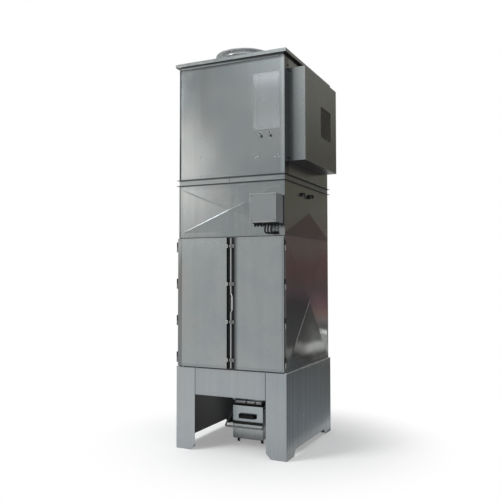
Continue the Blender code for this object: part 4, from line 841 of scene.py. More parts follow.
def crossBroken(node):
    low, high, centre, half = boxOf(node)
    out = 0 if half.x < half.y else 1
    along = 1 - out
    side = 1 if centre[out] > middle[out] else -1
    skin = high[out] - crossBreak["sheet"] if side < 0 else low[out] + crossBreak["sheet"]
    rising, falling = crossBreak["frontCrease"] if out == 1 else crossBreak["sideCrease"]
    rise = high[out] - low[out] - crossBreak["sheet"] - rising
    halfU, halfV, centreU, centreV = half[along], half.z, centre[along], centre.z
    inU, inV = halfU - crossBreak["margin"], halfV - crossBreak["margin"]
    shape = bmesh.new()
    corners = [shape.verts.new((u * halfU, v * halfV, 0)) for u, v in ((-1, -1), (1, -1), (1, 1), (-1, 1))]
    shape.faces.new(corners)
    cuts = [((u, 0, 0), (1, 0, 0)) for u in spread(-halfU, halfU, crossBreak["grid"])[1:-1]]
    cuts += [((0, v, 0), (0, 1, 0)) for v in spread(-halfV, halfV, crossBreak["grid"])[1:-1]]
    for sign in (-1, 1):
        for near in crossBreak["bend"]:
            cuts += [((sign * (inU + near), 0, 0), (1, 0, 0)), ((0, sign * (inV + near), 0), (0, 1, 0))]
        across = Vector((inV, -sign * inU, 0)).normalized()
        for offset in crossBreak["strips"]:
            cuts += [(across * offset, across), (across * -offset, across)][:1 if offset == 0 else 2]
    for point, normal in cuts:
        bmesh.ops.bisect_plane(shape, geom=shape.verts[:] + shape.edges[:] + shape.faces[:], dist=0.00001,
                               plane_co=point, plane_no=normal)
    slope = math.hypot(1 / inU, 1 / inV)
    for vert in shape.verts:
        a, b = 1 - abs(vert.co.x) / inU, 1 - abs(vert.co.y) / inV
        height = max(0.0, min(a, b)) * rise
        inside = min(inU - abs(vert.co.x), inV - abs(vert.co.y))
        if inside > 0:
            fade = min(1.0, inside / crossBreak["fade"])
            ridge = rising if vert.co.x * vert.co.y > 0 else falling
            if out == 0 and vert.co.x > 0:
                ridge *= crossBreak["rearShare"]
            height += ridge * fade * math.exp(-((a - b) / slope / crossBreak["creaseWidth"]) ** 2)
        place = [0.0, 0.0, centreV + vert.co.y]
        place[along], place[out] = centreU + vert.co.x, skin + side * height
        vert.co = place
    outward = Vector((0, 0, 0))
    outward[out] = side
    shape.normal_update()
    shape.faces.ensure_lookup_table()
    if shape.faces[0].normal.dot(outward) < 0:
        bmesh.ops.reverse_faces(shape, faces=shape.faces)
    carrier = bpy.data.objects.new(node, meshFrom(node, shape))
    bpy.context.scene.collection.objects.link(carrier)
    wall = carrier.modifiers.new("wall", "SOLIDIFY")
    wall.thickness, wall.offset = crossBreak["sheet"], -1.0
    standFor(node, settled(carrier), worn(node))


brokenSheets = [node for node in nodes if node.startswith(("plenum_", "filter_side_"))]
for node in brokenSheets:
    crossBroken(node)
print("cross-broken sheets:", len(brokenSheets))


# Fasteners

fastener = {"boltRadius": 0.0073, "boltHeight": 0.0050, "washerRadius": 0.0082, "washer": 0.0014,
            "rivetRadius": 0.0042, "rivetHeight": 0.0016, "screwRadius": 0.0045, "screwHeight": 0.0026,
            "sunk": 0.0004}


def boltMesh():
    r, thick = fastener["washerRadius"], fastener["washer"]
    shape = bmesh.new()
    turned(shape, [(0, 0), (r, 0), (r, thick), (0, thick)], origin, up, 20)
    sided(shape, fastener["boltRadius"], thick, thick + fastener["boltHeight"], origin, up, 6, 0.0008)
    return meshFrom("bolt", shape, True)


def rivetMesh():
    r, h, sunk = fastener["rivetRadius"], fastener["rivetHeight"], fastener["sunk"]
    return lathed("rivet", [(0, -sunk), (r, -sunk), (r, h * 0.25), (r * 0.82, h * 0.72), (r * 0.5, h), (r * 0.34, h),
                            (r * 0.30, h * 0.45), (0, h * 0.45)], origin, up, 16)


def screwMesh():
    r, h, sunk = fastener["screwRadius"], fastener["screwHeight"], fastener["sunk"]
    return lathed("screw", [(0, -sunk), (r, -sunk), (r, h * 0.35), (r * 0.86, h * 0.8), (r * 0.6, h), (0, h)],
                  origin, up, 16)


bolt, rivet, screw = boltMesh(), rivetMesh(), screwMesh()


# Rivets that show on the sheets, as (x, z) in front and by rows at the rear

rivetRows = {"darkSpots": ((-0.346, 2.682), (-0.346, 2.516), (-0.346, 2.353)),
             "paleSpots": ((0.1556, 2.5049), (0.1795, 2.4761), (0.1978, 2.4847),
                           (0.3551, 2.4721), (0.3818, 2.4898), (0.3924, 2.4674)),
             "jointMarks": [(x, 2.300) for x in (0.344, 0.365, 0.386, 0.408, 0.429)],
             "plenumMark": ((-0.4827, 2.2665),), "edge": 0.016, "end": 0.030, "pitch": 0.118}


def sheetRivets():
    def inFront(spots, node, back, size):
        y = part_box(node)[0].y + back
        return [((x, y, z), toFront, size) for x, z in rivetRows[spots]]

    dark = inFront("darkSpots", "fan_front_panel", 0.0, 0.9)
    dark += inFront("jointMarks", "section_joint_frame", 0.018, 0.7) + inFront("plenumMark", "plenum_front", 0.010, 0.7)
    scatter("dark_rivets", rivet, dark, "dark_sheet")
    scatter("pale_rivets", rivet, inFront("paleSpots", "fan_front_panel", 0.0, 0.9), "bright_steel")
    rows = []
    for node in ("fan_rear_panel", "filter_rear_panel"):
        low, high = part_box(node)
        heights = spread(low.z + rivetRows["end"], high.z - rivetRows["end"], rivetRows["pitch"])
        for x in (low.x + rivetRows["edge"], high.x - rivetRows["edge"]):
            rows += [((x, high.y, z), toRear, 0.8) for z in heights]
    scatter("sheet_rivets", rivet, rows, "bright_steel")


sheetRivets()
print("fasteners set")


# Roof outlet: rolled spigot, angle flange with its bolt holes

outlet = {"steps": 112, "radius": 0.200, "wall": 0.003, "bead": 0.0022, "footEdge": 0.0012, "thick": 0.006,
          "holes": 16, "holeInset": 0.022, "holeRadius": 0.0055}
inlet = {"radius": 0.150, "foot": 0.180, "flange": 0.185, "holes": 12, "holeInset": 0.018, "screwRing": 0.170}


def roundOutlet():
    low, high, centre, half = boxOf("outlet_spigot")
    flangeLow, flangeHigh, _, flangeHalf = boxOf("outlet_flange")
    at, foot, roof = Vector((centre.x, centre.y, 0)), half.x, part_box("roof_cap")[1].z
    radius, wall, bead, e = outlet["radius"], outlet["wall"], outlet["bead"], outlet["footEdge"]
    inner = radius - wall
    profile = [(0, low.z + wall), (inner, low.z + wall), (inner, high.z - e), (inner + e, high.z),
               (radius - e / 2, high.z), (radius, high.z - e)]
    profile += [(radius, roof + 0.058), (radius + bead * 0.7, roof + 0.055), (radius + bead, roof + 0.051),
                (radius + bead * 0.7, roof + 0.047), (radius, roof + 0.044)]
    profile += [(radius, roof + 0.012), (radius + 0.003, roof + 0.006), (radius + 0.010, roof + 0.0034),
                (foot - e, roof + 0.0034), (foot, roof + 0.0022), (foot, roof + 0.0003), (radius, roof + 0.0003),
                (radius, low.z), (0, low.z)]
    spigot = lathed("outlet_spigot", profile, at, up, outlet["steps"])
    putPiece("outlet_spigot_finished", spigot, outletZinc, stands=("outlet_spigot",), sharp=40)
    bore, thick = radius + 0.0004, outlet["thick"]
    plate = ringPlate(bore, flangeHalf.x, thick, outlet["holes"], outlet["holeInset"])
    plate.transform(Matrix.Translation((at.x, at.y, flangeHigh.z - thick)))
    shape = bmesh.new()
    shape.from_mesh(plate)
    turned(shape, [(bore, flangeHigh.z - thick), (bore + 0.0035, flangeHigh.z - thick),
                   (bore + 0.0030, flangeHigh.z - 0.0295), (bore + 0.0018, flangeLow.z), (bore, flangeLow.z)],
           at, up, outlet["steps"], closed=True)
    bmesh.ops.recalc_face_normals(shape, faces=shape.faces)
    piece = putPiece("outlet_flange_finished", meshFrom("outlet_flange", shape), brightZinc,
                     stands=("outlet_flange",), sharp=40)
    eased(piece, 0.0008, 50)


# A flat flange with a ring of bolt holes, lying at the origin.
def ringPlate(bore, outer, thick, holes, inset):
    steps = outlet["steps"]
    angles = [2 * math.pi * k / steps for k in range(steps)]
    points, edges = [], []
    for r in (bore, outer):
        first = len(points)
        points += [(r * math.cos(angle), r * math.sin(angle), 0) for angle in angles]
        edges += [(first + k, first + (k + 1) % steps) for k in range(steps)]
    marks = [False] * len(points) + [True] * holes
    for k in range(holes):
        angle = 2 * math.pi * (k + 0.5) / holes
        points.append(((outer - inset) * math.cos(angle), (outer - inset) * math.sin(angle), 0))
    return punched(points, edges, marks, thick, outlet["holeRadius"], 16, brightZinc)


# A plate cut by the punch rule: closed outlines, and a hole at each marked point.
def punched(points, edges, marks, thickness, holeRadius, holeSides, finish):
    mesh = bpy.data.meshes.new("outline")
    mesh.from_pydata(points, edges, [])
    mark = mesh.attributes.new("hole", "BOOLEAN", "POINT")
    for k, value in enumerate(marks):
        mark.data[k].value = value
    return punchRule.run(mesh, thickness=thickness, holeRadius=holeRadius, holeSides=holeSides, material=finish)


roundOutlet()


# Rear inlet: the same build, lying along Y
def rearInlet():
    low, high, centre, _ = boxOf("inlet_spigot")
    at, foot, lip = Vector((centre.x, 0, centre.z)), low.y, high.y
    radius, edge, bead, thick = inlet["radius"], inlet["foot"], outlet["bead"], outlet["thick"]
    inner = radius - outlet["wall"]
    profile = [(inner, foot + 0.0005), (inner, lip - 0.001), (radius - 0.0015, lip - 0.0001), (radius, lip - 0.001),
               (radius, lip - 0.0065)]
    profile += [(radius, foot + 0.052), (radius + 0.0016, foot + 0.049), (radius + bead, foot + 0.045),
                (radius + 0.0016, foot + 0.041), (radius, foot + 0.038), (radius, foot + 0.011),
                (radius + 0.003, foot + 0.006), (radius + 0.009, foot + 0.0034), (edge - 0.0012, foot + 0.0034),
                (edge, foot + 0.0022), (edge, foot + 0.0005)]
    sleeve = lathed("sleeve", profile, at, toRear, outlet["steps"], closed=True)
    plate = ringPlate(radius + 0.0003, inlet["flange"], thick, inlet["holes"], inlet["holeInset"])
    plate.transform(frameTo((at.x, lip - thick, at.z), toRear))
    standFor("inlet_spigot", joined("inlet_spigot", sleeve, plate), brightZinc, 40)
    ring = inlet["screwRing"]
    angles = [2 * math.pi * (k + 0.5) / inlet["holes"] for k in range(inlet["holes"])]
    screws = [((at.x + ring * math.cos(a), foot + 0.0034, at.z + ring * math.sin(a)), toRear) for a in angles]
    scatter("inlet_screws", screw, screws, "bright_steel", seed=4, spin=6.0)


rearInlet()
print("outlet and inlet made")


# Fan section: service plate with its locks, vent grille, three bolts on the side by the enclosure

fan = {"plateEdge": 0.0012, "plateScrews": 0.012, "tickPitch": 0.0180, "ticks": (0.208, 0.335),
       "meshPitch": 0.022, "meshHole": 0.0086, "meshMargin": 0.021, "lockRadius": 0.014,
       "boltRow": -0.450, "boltHeights": (3.245, 3.211, 2.470)}


def servicePlate():
    low, high, centre, half = boxOf("service_plate")
    thick, e, inset = high.y - low.y, fan["plateEdge"], fan["plateScrews"]
    shape = bmesh.new()
    stacked(shape, [(half.x - back, half.z - back, corner, height) for back, corner, height in
                    ((0, 0.006, 0), (0, 0.006, thick - e), (e * 0.3, 0.0057, thick - e * 0.3), (e, 0.005, thick))],
            (centre.x, high.y, centre.z), toFront)
    standFor("service_plate", meshFrom("service_plate", shape, True), worn("service_plate"), 10)
    rows = [((x, low.y, low.z + 0.0135), toFront, 0.62) for x in spread(*fan["ticks"], fan["tickPitch"])]
    rows += [((x, low.y, z), toFront, 0.8) for x in (low.x + inset, high.x - inset)
             for z in (low.z + inset, centre.z, high.z - inset)]
    scatter("plate_rivets", rivet, rows, "bar_steel")


# A turned rim round a black core with its slot, and a small black tab under it, set where the lock casts its shadow, as
# a painted shadow
def plateLock(node):
    low, high, centre, _ = boxOf(node)
    at, r, deep = (centre.x, high.y, centre.z), fan["lockRadius"], high.y - low.y
    rim = [(0.0092, 0), (r, 0), (r, deep * 0.45), (r - 0.0010, deep * 0.80), (r - 0.0028, deep), (0.0098, deep),
           (0.0092, deep - 0.0008)]
    standFor(node, lathed(node, rim, at, toFront, 40, closed=True), lockNickel, 40)
    shape = bmesh.new()
    turned(shape, [(0, 0.0005), (0.0090, 0.0005), (0.0090, deep - 0.0030), (0.0082, deep - 0.0022),
                   (0, deep - 0.0022)], at, toFront, 32)
    slab(shape, (at[0] - 0.0012, low.y + 0.0008, at[2] - 0.0056), (at[0] + 0.0012, low.y + 0.0030, at[2] + 0.0056))
    slab(shape, (at[0] + 0.0030, low.y + 0.0030, at[2] - 0.0320), (at[0] + 0.0125, high.y + 0.0002, at[2] - 0.0145),
         0.0012)
    putPiece(node + "_core", meshFrom(node + "_core", shape), blackPlastic)


def grille():
    low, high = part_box("vent_grille")
    wide, tall, pitch, margin = high.y - low.y, high.z - low.z, fan["meshPitch"], fan["meshMargin"]
    points = [(0, 0, 0), (wide, 0, 0), (wide, tall, 0), (0, tall, 0)]
    holes = []
    for start in (margin, margin + pitch / 2):
        across = [start + pitch * k for k in range(40)]
        holes += [(u, v, 0) for u in across for v in across if u < wide - 0.018 and v < tall - 0.018]
    mesh = punched(points + holes, [(0, 1), (1, 2), (2, 3), (3, 0)], [False] * 4 + [True] * len(holes),
                   high.x - low.x, fan["meshHole"], 4, meshSheet)
    mesh.transform(Matrix(((0, 0, 1, low.x), (1, 0, 0, low.y), (0, 1, 0, low.z), (0, 0, 0, 1))))
    standFor("vent_grille", mesh, meshSheet, 30)


def enclosureBolts():
    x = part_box("fan_side_right")[1].x
    rows = [((x, fan["boltRow"], z), toRight, 0.9) for z in fan["boltHeights"]]
    scatter("enclosure_bolts", bolt, rows, "black_plastic")


servicePlate()
plateLock("plate_lock_left")
plateLock("plate_lock_right")
grille()
enclosureBolts()
print("fan section dressed")


# Control box: lid with a raised rim, cable glands, cables to the gland in the casing

control = {"lidCorner": 0.007, "rim": 0.0065, "rimHeight": 0.0016, "lidScrews": 0.016, "plateThick": 0.0040,
           "glands": ((0.0155, 0.0130), (0.0415, 0.0130), (0.0665, 0.0115), (0.106, 0.0105), (0.132, 0.0110),
                      (0.159, 0.0110), (0.186, 0.0105), (0.212, 0.0105)),      # offset from the left and radius
           "cable": 0.0068, "cableEnd": (-0.5451, 1.842),
           "cables": ((0.3025, 0.3435), (0.3285, 0.3595), (0.3555, 0.3755)),   # x at the plate and at the wall
           "fittings": {"side_fitting_front": 0.76, "side_fitting_rear": 0.9}, "fittingLength": 0.8}


def boxLid():
    low, high, centre, half = boxOf("control_box_lid")
    a, b, deep, r = half.x, half.z, high.y - low.y, control["lidCorner"]
    rim, sink, inset = control["rim"], control["rimHeight"], control["lidScrews"]
    levels = [(a - back, b - back, r - back, height) for back, height in
              ((0.002, 0), (0, 0.002), (0, deep - 0.004), (0.0012, deep - 0.0012), (0.004, deep))]
    levels += [(a - rim, b - rim, 0.003, deep), (a - rim - 0.002, b - rim - 0.002, 0.003, deep - sink)]
    shape = bmesh.new()
    stacked(shape, levels, (centre.x, high.y, centre.z), toFront)
    lid = standFor("control_box_lid", meshFrom("control_box_lid", shape, True), boxEnamel, 12)
    lid.data.materials.append(rimEnamel)
    for face in lid.data.polygons:                     # the raised rim round the sunk field is paler
        off = max(abs(face.center.x - centre.x) - a, abs(face.center.z - centre.z) - b) + rim
        face.material_index = 1 if off > 0.0005 and face.center.y < low.y + 0.0045 else 0
    rows = [((centre.x + u * (a - inset), low.y + sink + 0.0012, centre.z + v * (b - inset)), toFront)
            for u in (-1, 1) for v in (-1, 1)]
    scatter("lid_screws", screw, rows, "dark_sheet", seed=7, spin=6.0)


def glands():
    low, high, centre, half = boxOf("gland_plate")
    top, tip, left = high.z - control["plateThick"], low.z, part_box("control_box")[0].x
    shape = bmesh.new()
    stacked(shape, [(half.x, half.y, 0.004, top), (half.x, half.y, 0.004, high.z)], (centre.x, centre.y, 0), up)
    for k, (offset, radius) in enumerate(control["glands"]):
        place = (left + offset, centre.y, 0)
        sided(shape, radius, tip + 0.013, top, place, up, 6, 0.0008, 0.3 * k)
        nose = [(0, 0.0132), (0.86, 0.0132), (0.80, 0.006), (0.60, 0.001), (0.50, 0), (0, 0)]
        turned(shape, [(radius * share, tip + height) for share, height in nose], place, up, 28)
    standFor("gland_plate", meshFrom("gland_plate", shape), blackPlastic, 36)
    low, high, centre, half = boxOf("wall_gland")
    deep = high.y - low.y
    shape = bmesh.new()
    stacked(shape, [(half.x - back, half.z - back, half.z - back - 0.0004, height) for back, height in
                    ((0, 0), (0, deep * 0.5), (0.001, deep * 0.9), (0.003, deep))],
            (centre.x, high.y, centre.z), toFront)
    standFor("wall_gland", meshFrom("wall_gland", shape, True), blackPlastic, 40)


def cables():
    low, _, centre, _ = boxOf("gland_plate")
    tip, row, (endY, endZ) = low.z, centre.y, control["cableEnd"]
    for k, (startX, endX) in enumerate(control["cables"]):
        bend = [(startX, row, tip), (startX, row, tip - 0.0043), (startX - 0.004, row, tip - 0.020),
                (startX - 0.006, row + 0.004, tip - 0.038), (startX + 0.002, row + 0.016, tip - 0.052),
                (endX - 0.004, endY - 0.026, endZ - 0.006), (endX, endY - 0.005, endZ), (endX, endY, endZ)]
        mesh = tube(smoothPath(bend, 7), control["cable"], 0.0, blackRubber, 16, 1)
        standFor("control_cable_" + str(k + 1), mesh, blackRubber, 60)


# A curve through the points, a few chords between each two.
def smoothPath(points, steps):
    points = [Vector(point) for point in points]
    ends = [points[0] * 2 - points[1]] + points + [points[-1] * 2 - points[-2]]
    path = []
    for a, b, c, d in zip(ends, ends[1:], ends[2:], ends[3:]):
        for k in range(steps):
            t = k / steps
            path.append(0.5 * (2 * b + (c - a) * t + (2 * a - 5 * b + 4 * c - d) * t * t
                               + (3 * b - a - 3 * c + d) * t * t * t))
    return path + [points[-1]]


def sideFittings():
    for node, share in control["fittings"].items():
        low, high, centre, _ = boxOf(node)
        at, long = (low.x, centre.y, centre.z), (high.x - low.x) * control["fittingLength"] * share
        profile = [(0, 0), (0.022, 0), (0.022, 0.006), (0.0212, 0.007), (0.018, 0.007), (0.018, 0.010),
                   (0.0168, 0.011), (0.0168, 0.013), (0.018, 0.014), (0.018, long - 0.006), (0.0172, long - 0.003),
                   (0.0150, long - 0.001), (0.0110, long), (0.0095, long), (0.0090, long - 0.010), (0, long - 0.010)]
        standFor(node, lathed(node, [(r * share, h) for r, h in profile], at, toRight, 40), blackRubber, 36)
        shape = bmesh.new()
        for inner, outer, start, end in ((0.01705, 0.0176, 0.0112, 0.0128),
                                         (0.0181, 0.0184, long * 0.55, long * 0.55 + 0.005)):
            ring = [(inner, start), (outer, start), (outer, end), (inner, end)]
            turned(shape, [(r * share, h) for r, h in ring], at, toRight, 40, closed=True)
        putPiece(node + "_rings", meshFrom(node + "_rings", shape, True), barSteel)


boxLid()
glands()
cables()
sideFittings()
print("controls made")


# Lock rod: one long bar with its crank bent in, a sleeve on the crank, and a nose at each guide

rod = {"radius": 0.0065, "axis": (-0.0395, -0.5545), "crankHeight": 1.2622, "crank": 0.017, "outwards": 0.0125,
       "sleeve": 0.0098, "half": 0.060, "slope": 0.020, "guides": (0.7855, 1.1033, 1.4212, 1.739),
       "noseRow": -0.0470, "keeper": (-0.0740, -0.5655)}


def lockRod():
    low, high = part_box("lock_rod")
    (axisX, axisY), mid, half, r = rod["axis"], rod["crankHeight"], rod["half"], rod["radius"]
    x, y, bend = axisX + rod["crank"], axisY - rod["outwards"], half + rod["slope"]
    line = [(axisX, axisY, high.z), (axisX, axisY, mid + bend), (x, y, mid + half),
            (x, y, mid - half), (axisX, axisY, mid - bend), (axisX, axisY, low.z)]
    shape = bmesh.new()
    shape.from_mesh(tube(line, r, 0.012, rodZinc, 24, 6))
    for z in rod["guides"]:
        stacked(shape, [(0.0080, 0.0058, 0.0028, 0.0), (0.0085, 0.0060, 0.0028, 0.0007),
                        (0.0085, 0.0060, 0.0028, 0.0113), (0.0080, 0.0058, 0.0028, 0.012)],
                (rod["noseRow"], axisY, z - 0.006), up, 3)
    standFor("lock_rod", meshFrom("lock_rod", shape), rodZinc, 40)
    reach, outer = half - 0.007, rod["sleeve"]
    sleeve = [(r, -reach), (outer - 0.001, -reach), (outer, 0.0015 - reach), (outer, reach - 0.0015),
              (outer - 0.001, reach), (r, reach)]
    putPiece("crank_sleeve", lathed("crank_sleeve", sleeve, (x, y, mid), up, 32, closed=True), rodZinc,
             "lock_rod", sharp=40)
    rows = [((*rod["keeper"], z), toFront, 0.75) for z in rod["guides"]]
    scatter("keeper_screws", screw, rows, "black_plastic", "left_door")


lockRod()
print("lock rod made")


# Dust bin: bridge handle, flat bar lever, dolly with castors, clips on the hopper outlet

dustBin = {"handleThick": 0.0095, "handleHalf": 0.081, "leverWidth": 0.0178, "leverThick": 0.0075,
           "leverPivot": (-0.0825, 0.300), "leverBar": (-0.2725, 0.163), "leverInset": 0.009, "eye": 0.0095,
           "wheel": 0.018, "wheelWidth": 0.016, "board": (0.1415, 0.206), "castors": (0.1155, 0.150),
           "clips": (-0.080, 0.010)}


def binHandle():
    low, high, centre, _ = boxOf("bin_handle")
    mid, end, thick = centre.x, dustBin["handleHalf"], dustBin["handleThick"]
    front = low.y + thick / 2
    path = rounded([(mid - end, high.y, 0), (mid - end, high.y - 0.008, 0), (mid - 0.070, front, 0),
                    (mid + 0.070, front, 0), (mid + end, high.y - 0.008, 0), (mid + end, high.y, 0)], 0.0065, 4)
    shape = bmesh.new()
    flatBar(shape, [point + Vector((0, 0, centre.z)) for point in path], high.z - low.z, thick, up, 0.0030)
    standFor("bin_handle", meshFrom("bin_handle", shape, True), blackPlastic, 40)


def binLever():
    low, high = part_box("bin_lever")
    left, right = low.x + dustBin["leverInset"], high.x - dustBin["leverInset"]
    (pivotY, pivotZ), (barY, barZ) = dustBin["leverPivot"], dustBin["leverBar"]
    fall = Vector((0, barY - pivotY, barZ - pivotZ)).normalized()
    start = Vector((0, pivotY, pivotZ)) + fall * dustBin["eye"]
    corners = [(left, start.y, start.z), (left, barY, barZ), (right, barY, barZ), (right, start.y, start.z)]
    shape = bmesh.new()
    flatBar(shape, rounded(corners, 0.010, 5), dustBin["leverWidth"], dustBin["leverThick"],
            Vector(toRight).cross(fall), 0.0007)
    bar = meshFrom("bar", shape, True)
    shape = bmesh.new()
    for x in (left, right):
        turned(shape, [(0.0066, -0.009), (0.0130, -0.009), (0.0140, -0.0080), (0.0140, 0.0080), (0.0130, 0.009),
                       (0.0066, 0.009)], (x, pivotY, pivotZ), toRight, 32, closed=True)
    standFor("bin_lever", joined("bin_lever", bar, meshFrom("eyes", shape, True)), leverSteel, 40)


def forkMesh():
    shape = bmesh.new()
    for side in (-1, 1):
        x = side * 0.0107
        slab(shape, (x - 0.0011, -0.0085, 0.0128), (x + 0.0011, 0.0085, 0.0415), 0.0005, 1)
        turned(shape, [(0, 0), (0.0042, 0), (0.0042, 0.0016), (0.0030, 0.0024), (0, 0.0024)],
               (side * 0.0117, 0, 0.018), (side, 0, 0), 12)
    slab(shape, (-0.0118, -0.0120, 0.0392), (0.0118, 0.0120, 0.0416), 0.0005, 1)
    return meshFrom("fork", shape)


def wheelMesh():
    r, w = dustBin["wheel"], dustBin["wheelWidth"] / 2
    half = [(0.0040, w), (0.0105, w - 0.0010), (0.0130, w), (r - 0.0020, w), (r - 0.0004, w - 0.0022)]
    profile = [(radius, -out) for radius, out in half] + [(r, 0)] + half[::-1]
    return lathed("wheel", profile, (0, 0, r), toRight, 36, closed=True)


def binDolly():
    _, high, centre, _ = boxOf("bin_dolly")
    (a, b), (outX, outY) = dustBin["board"], dustBin["castors"]
    shape = bmesh.new()
    stacked(shape, [(a - 0.001, b - 0.001, 0.009, 0.0417), (a, b, 0.010, 0.0427), (a, b, 0.010, 0.0447),
                    (a - 0.001, b - 0.001, 0.009, high.z)], (centre.x, centre.y, 0), up)
    stands = [((centre.x + u * outX, centre.y + v * outY, 0), up) for u in (-1, 1) for v in (-1, 1)]
    wheels = repeat("wheels", wheelMesh(), stands, blackRubber)
    standFor("bin_dolly", joined("bin_dolly", meshFrom("board", shape, True), wheels), blackPlastic, 36)
    scatter("castor_forks", forkMesh(), stands, "bright_steel", "dust_bin")


def outletClips():
    low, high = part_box("hopper_outlet_flange")
    shape = bmesh.new()
    for x in dustBin["clips"]:
        slab(shape, (x - 0.006, low.y - 0.0042, low.z - 0.0005), (x + 0.006, low.y - 0.0003, high.z + 0.003),
             0.0008, 1)
    putPiece("outlet_clips", meshFrom("outlet_clips", shape), darkSheet)


binHandle()
binLever()
binDolly()
outletClips()
print("bin dressed")


# Cartridges: pleated felt between a collar and a cap, two bands round the pleats

cartridge = {"outer": 0.1600, "inner": 0.1385, "pleats": 92, "band": 0.0125, "bandHeights": (0.24, 0.49),
             "foot": 0.026, "collar": 0.018}


def cartridges():
    for node in [name for name in nodes if name.startswith("cartridge_")]:
        low, high, centre, _ = boxOf(node)
        at = (centre.x, centre.y, 0)
        bottom, top = low.z + cartridge["foot"], high.z - cartridge["collar"]
        pleats = pleatRule.run(lineMesh([(*at[:2], bottom - 0.002), (*at[:2], top + 0.002)]), material=needleFelt,
                               pleats=cartridge["pleats"], outer=cartridge["outer"], inner=cartridge["inner"])
        standFor(node, pleats, needleFelt, 20)
        collar = [(0, top + 0.0005), (0.1665, top + 0.0005), (0.1750, top + 0.002), (0.1750, high.z - 0.001),
                  (0.1740, high.z), (0, high.z)]
        cap = [(0, low.z), (0.040, low.z), (0.044, low.z + 0.004), (0.150, low.z + 0.004), (0.154, low.z),
               (0.1640, low.z), (0.1660, low.z + 0.002), (0.1660, low.z + 0.024), (0.1645, bottom), (0, bottom)]
        shape = bmesh.new()
        for profile in (collar, cap):
            turned(shape, profile, at, up, 72)
        for start in cartridge["bandHeights"]:
            z, end = bottom + start, bottom + start + cartridge["band"]
            turned(shape, [(0.1603, z), (0.1622, z), (0.1622, end), (0.1603, end)], at, up, 72, closed=True)
        putPiece(node + "_ends", meshFrom(node + "_ends", shape, True), brightZinc, sharp=36)


cartridges()
print("cartridges made")


# Studio

# A lamp is its place, what it points at, its width and its power.
studio = {"floorSize": 60.0, "floorTone": (0.86, 0.865, 0.87), "ambient": 0.32, "ambientRight": 0.10, "spark": 11.0,
          "lamps": {"key": ((-3.6, -4.6, 7.0), (0, 0, 1.4), 2.4, 400.0),
                    "fill": ((4.5, -4.0, 2.5), (0, 0, 1.5), 3.0, 8.0),
                    "top": ((0.0, -0.5, 6.5), (0, 0, 0), 5.0, 240.0)}}


def makeFloor():
    make = Finish("paleFloor")
    mottle = make.noise(0.6, 3.0, 0.5)
    make.feed(make.shader.inputs["Base Color"], make.blend(mottle, studio["floorTone"], (0.84, 0.845, 0.85)))
    make.shader.inputs["Roughness"].default_value = 0.7
    make.shader.inputs["Specular IOR Level"].default_value = 0.2
    far = make.add("VectorMath", {"operation": "LENGTH"}, {0: make.place()}, out=1)
    glow = make.add("Emission", {}, {"Color": (1, 1, 1, 1), "Strength": 1.0})
    rays = make.add("LightPath").socket.node.outputs
    seen = Wire(make, rays["Is Camera Ray"]).most(Wire(make, rays["Is Glossy Ray"])).most(
        Wire(make, rays["Is Transmission Ray"]))
    share = (0.3 + make.step(far, 0.65, 1.75) * 0.7) * seen
    mixed = make.add("MixShader", {}, {0: share, 1: Wire(make, make.shader.outputs[0]), 2: glow})
    make.feed(make.tree.nodes["Material Output"].inputs["Surface"], mixed)
    bpy.ops.mesh.primitive_plane_add(size=studio["floorSize"], location=(0, 0, 0))
    floor = bpy.context.object
    floor.name = "floor"
    floor.data.materials.append(make.material)


# White to the camera and in reflections, and a dim light on the rest, less of it from the right.
def makeWorld():
    world = bpy.data.worlds.new("studio")
    bpy.context.scene.world = world
    world.use_nodes = True
    tree = world.node_tree
    back = tree.nodes["Background"]
    rays = tree.nodes.new("ShaderNodeLightPath")
    seen = rays.outputs["Is Camera Ray"]
    for name in ("Is Glossy Ray", "Is Transmission Ray"):
        either = tree.nodes.new("ShaderNodeMath")
        either.operation = "MAXIMUM"
        tree.links.new(seen, either.inputs[0])
        tree.links.new(rays.outputs[name], either.inputs[1])
        seen = either.outputs[0]
    level = tree.nodes.new("ShaderNodeMapRange")
    tree.links.new(seen, level.inputs["Value"])
    towards = tree.nodes.new("ShaderNodeSeparateXYZ")
    tree.links.new(tree.nodes.new("ShaderNodeTexCoord").outputs["Generated"], towards.inputs[0])
    side = tree.nodes.new("ShaderNodeMapRange")
    for label, value in (("From Min", -0.6), ("From Max", 0.6), ("To Min", studio["ambient"]),
                         ("To Max", studio["ambientRight"])):
        side.inputs[label].default_value = value
    tree.links.new(towards.outputs["X"], side.inputs["Value"])
    tree.links.new(side.outputs["Result"], level.inputs["To Min"])
    back.inputs["Color"].default_value = (1.0, 1.0, 1.0, 1.0)
    tree.links.new(level.outputs["Result"], back.inputs["Strength"])


# The lamps light the matt surfaces; what the sheets mirror is on the cards.
def softBox(name, at, aim, size, power):
    light = bpy.data.lights.new(name, "AREA")
    light.shape, light.size, light.size_y, light.energy = "RECTANGLE", size, size, power
    lamp = bpy.data.objects.new(name, light)
    lamp.location = at
    lamp.rotation_euler = (Vector(aim) - Vector(at)).to_track_quat("-Z", "Y").to_euler()
    lamp.visible_camera, lamp.visible_glossy = False, False
    bpy.context.scene.collection.objects.link(lamp)


# A card that only the sheets' reflections see.
def card(make, corners, colour):
    glow = make.add("Emission", {}, {"Color": colour, "Strength": 1.0})
    make.feed(make.tree.nodes["Material Output"].inputs["Surface"], glow)
    mesh = bpy.data.meshes.new(make.material.name)
    mesh.from_pydata(corners, [], [(0, 1, 2, 3)])
    sheet = bpy.data.objects.new(make.material.name, mesh)
    bpy.context.scene.collection.objects.link(sheet)
    sheet.data.materials.append(make.material)
    for flag in ("visible_camera", "visible_shadow", "visible_diffuse", "visible_transmission"):
        setattr(sheet, flag, False)


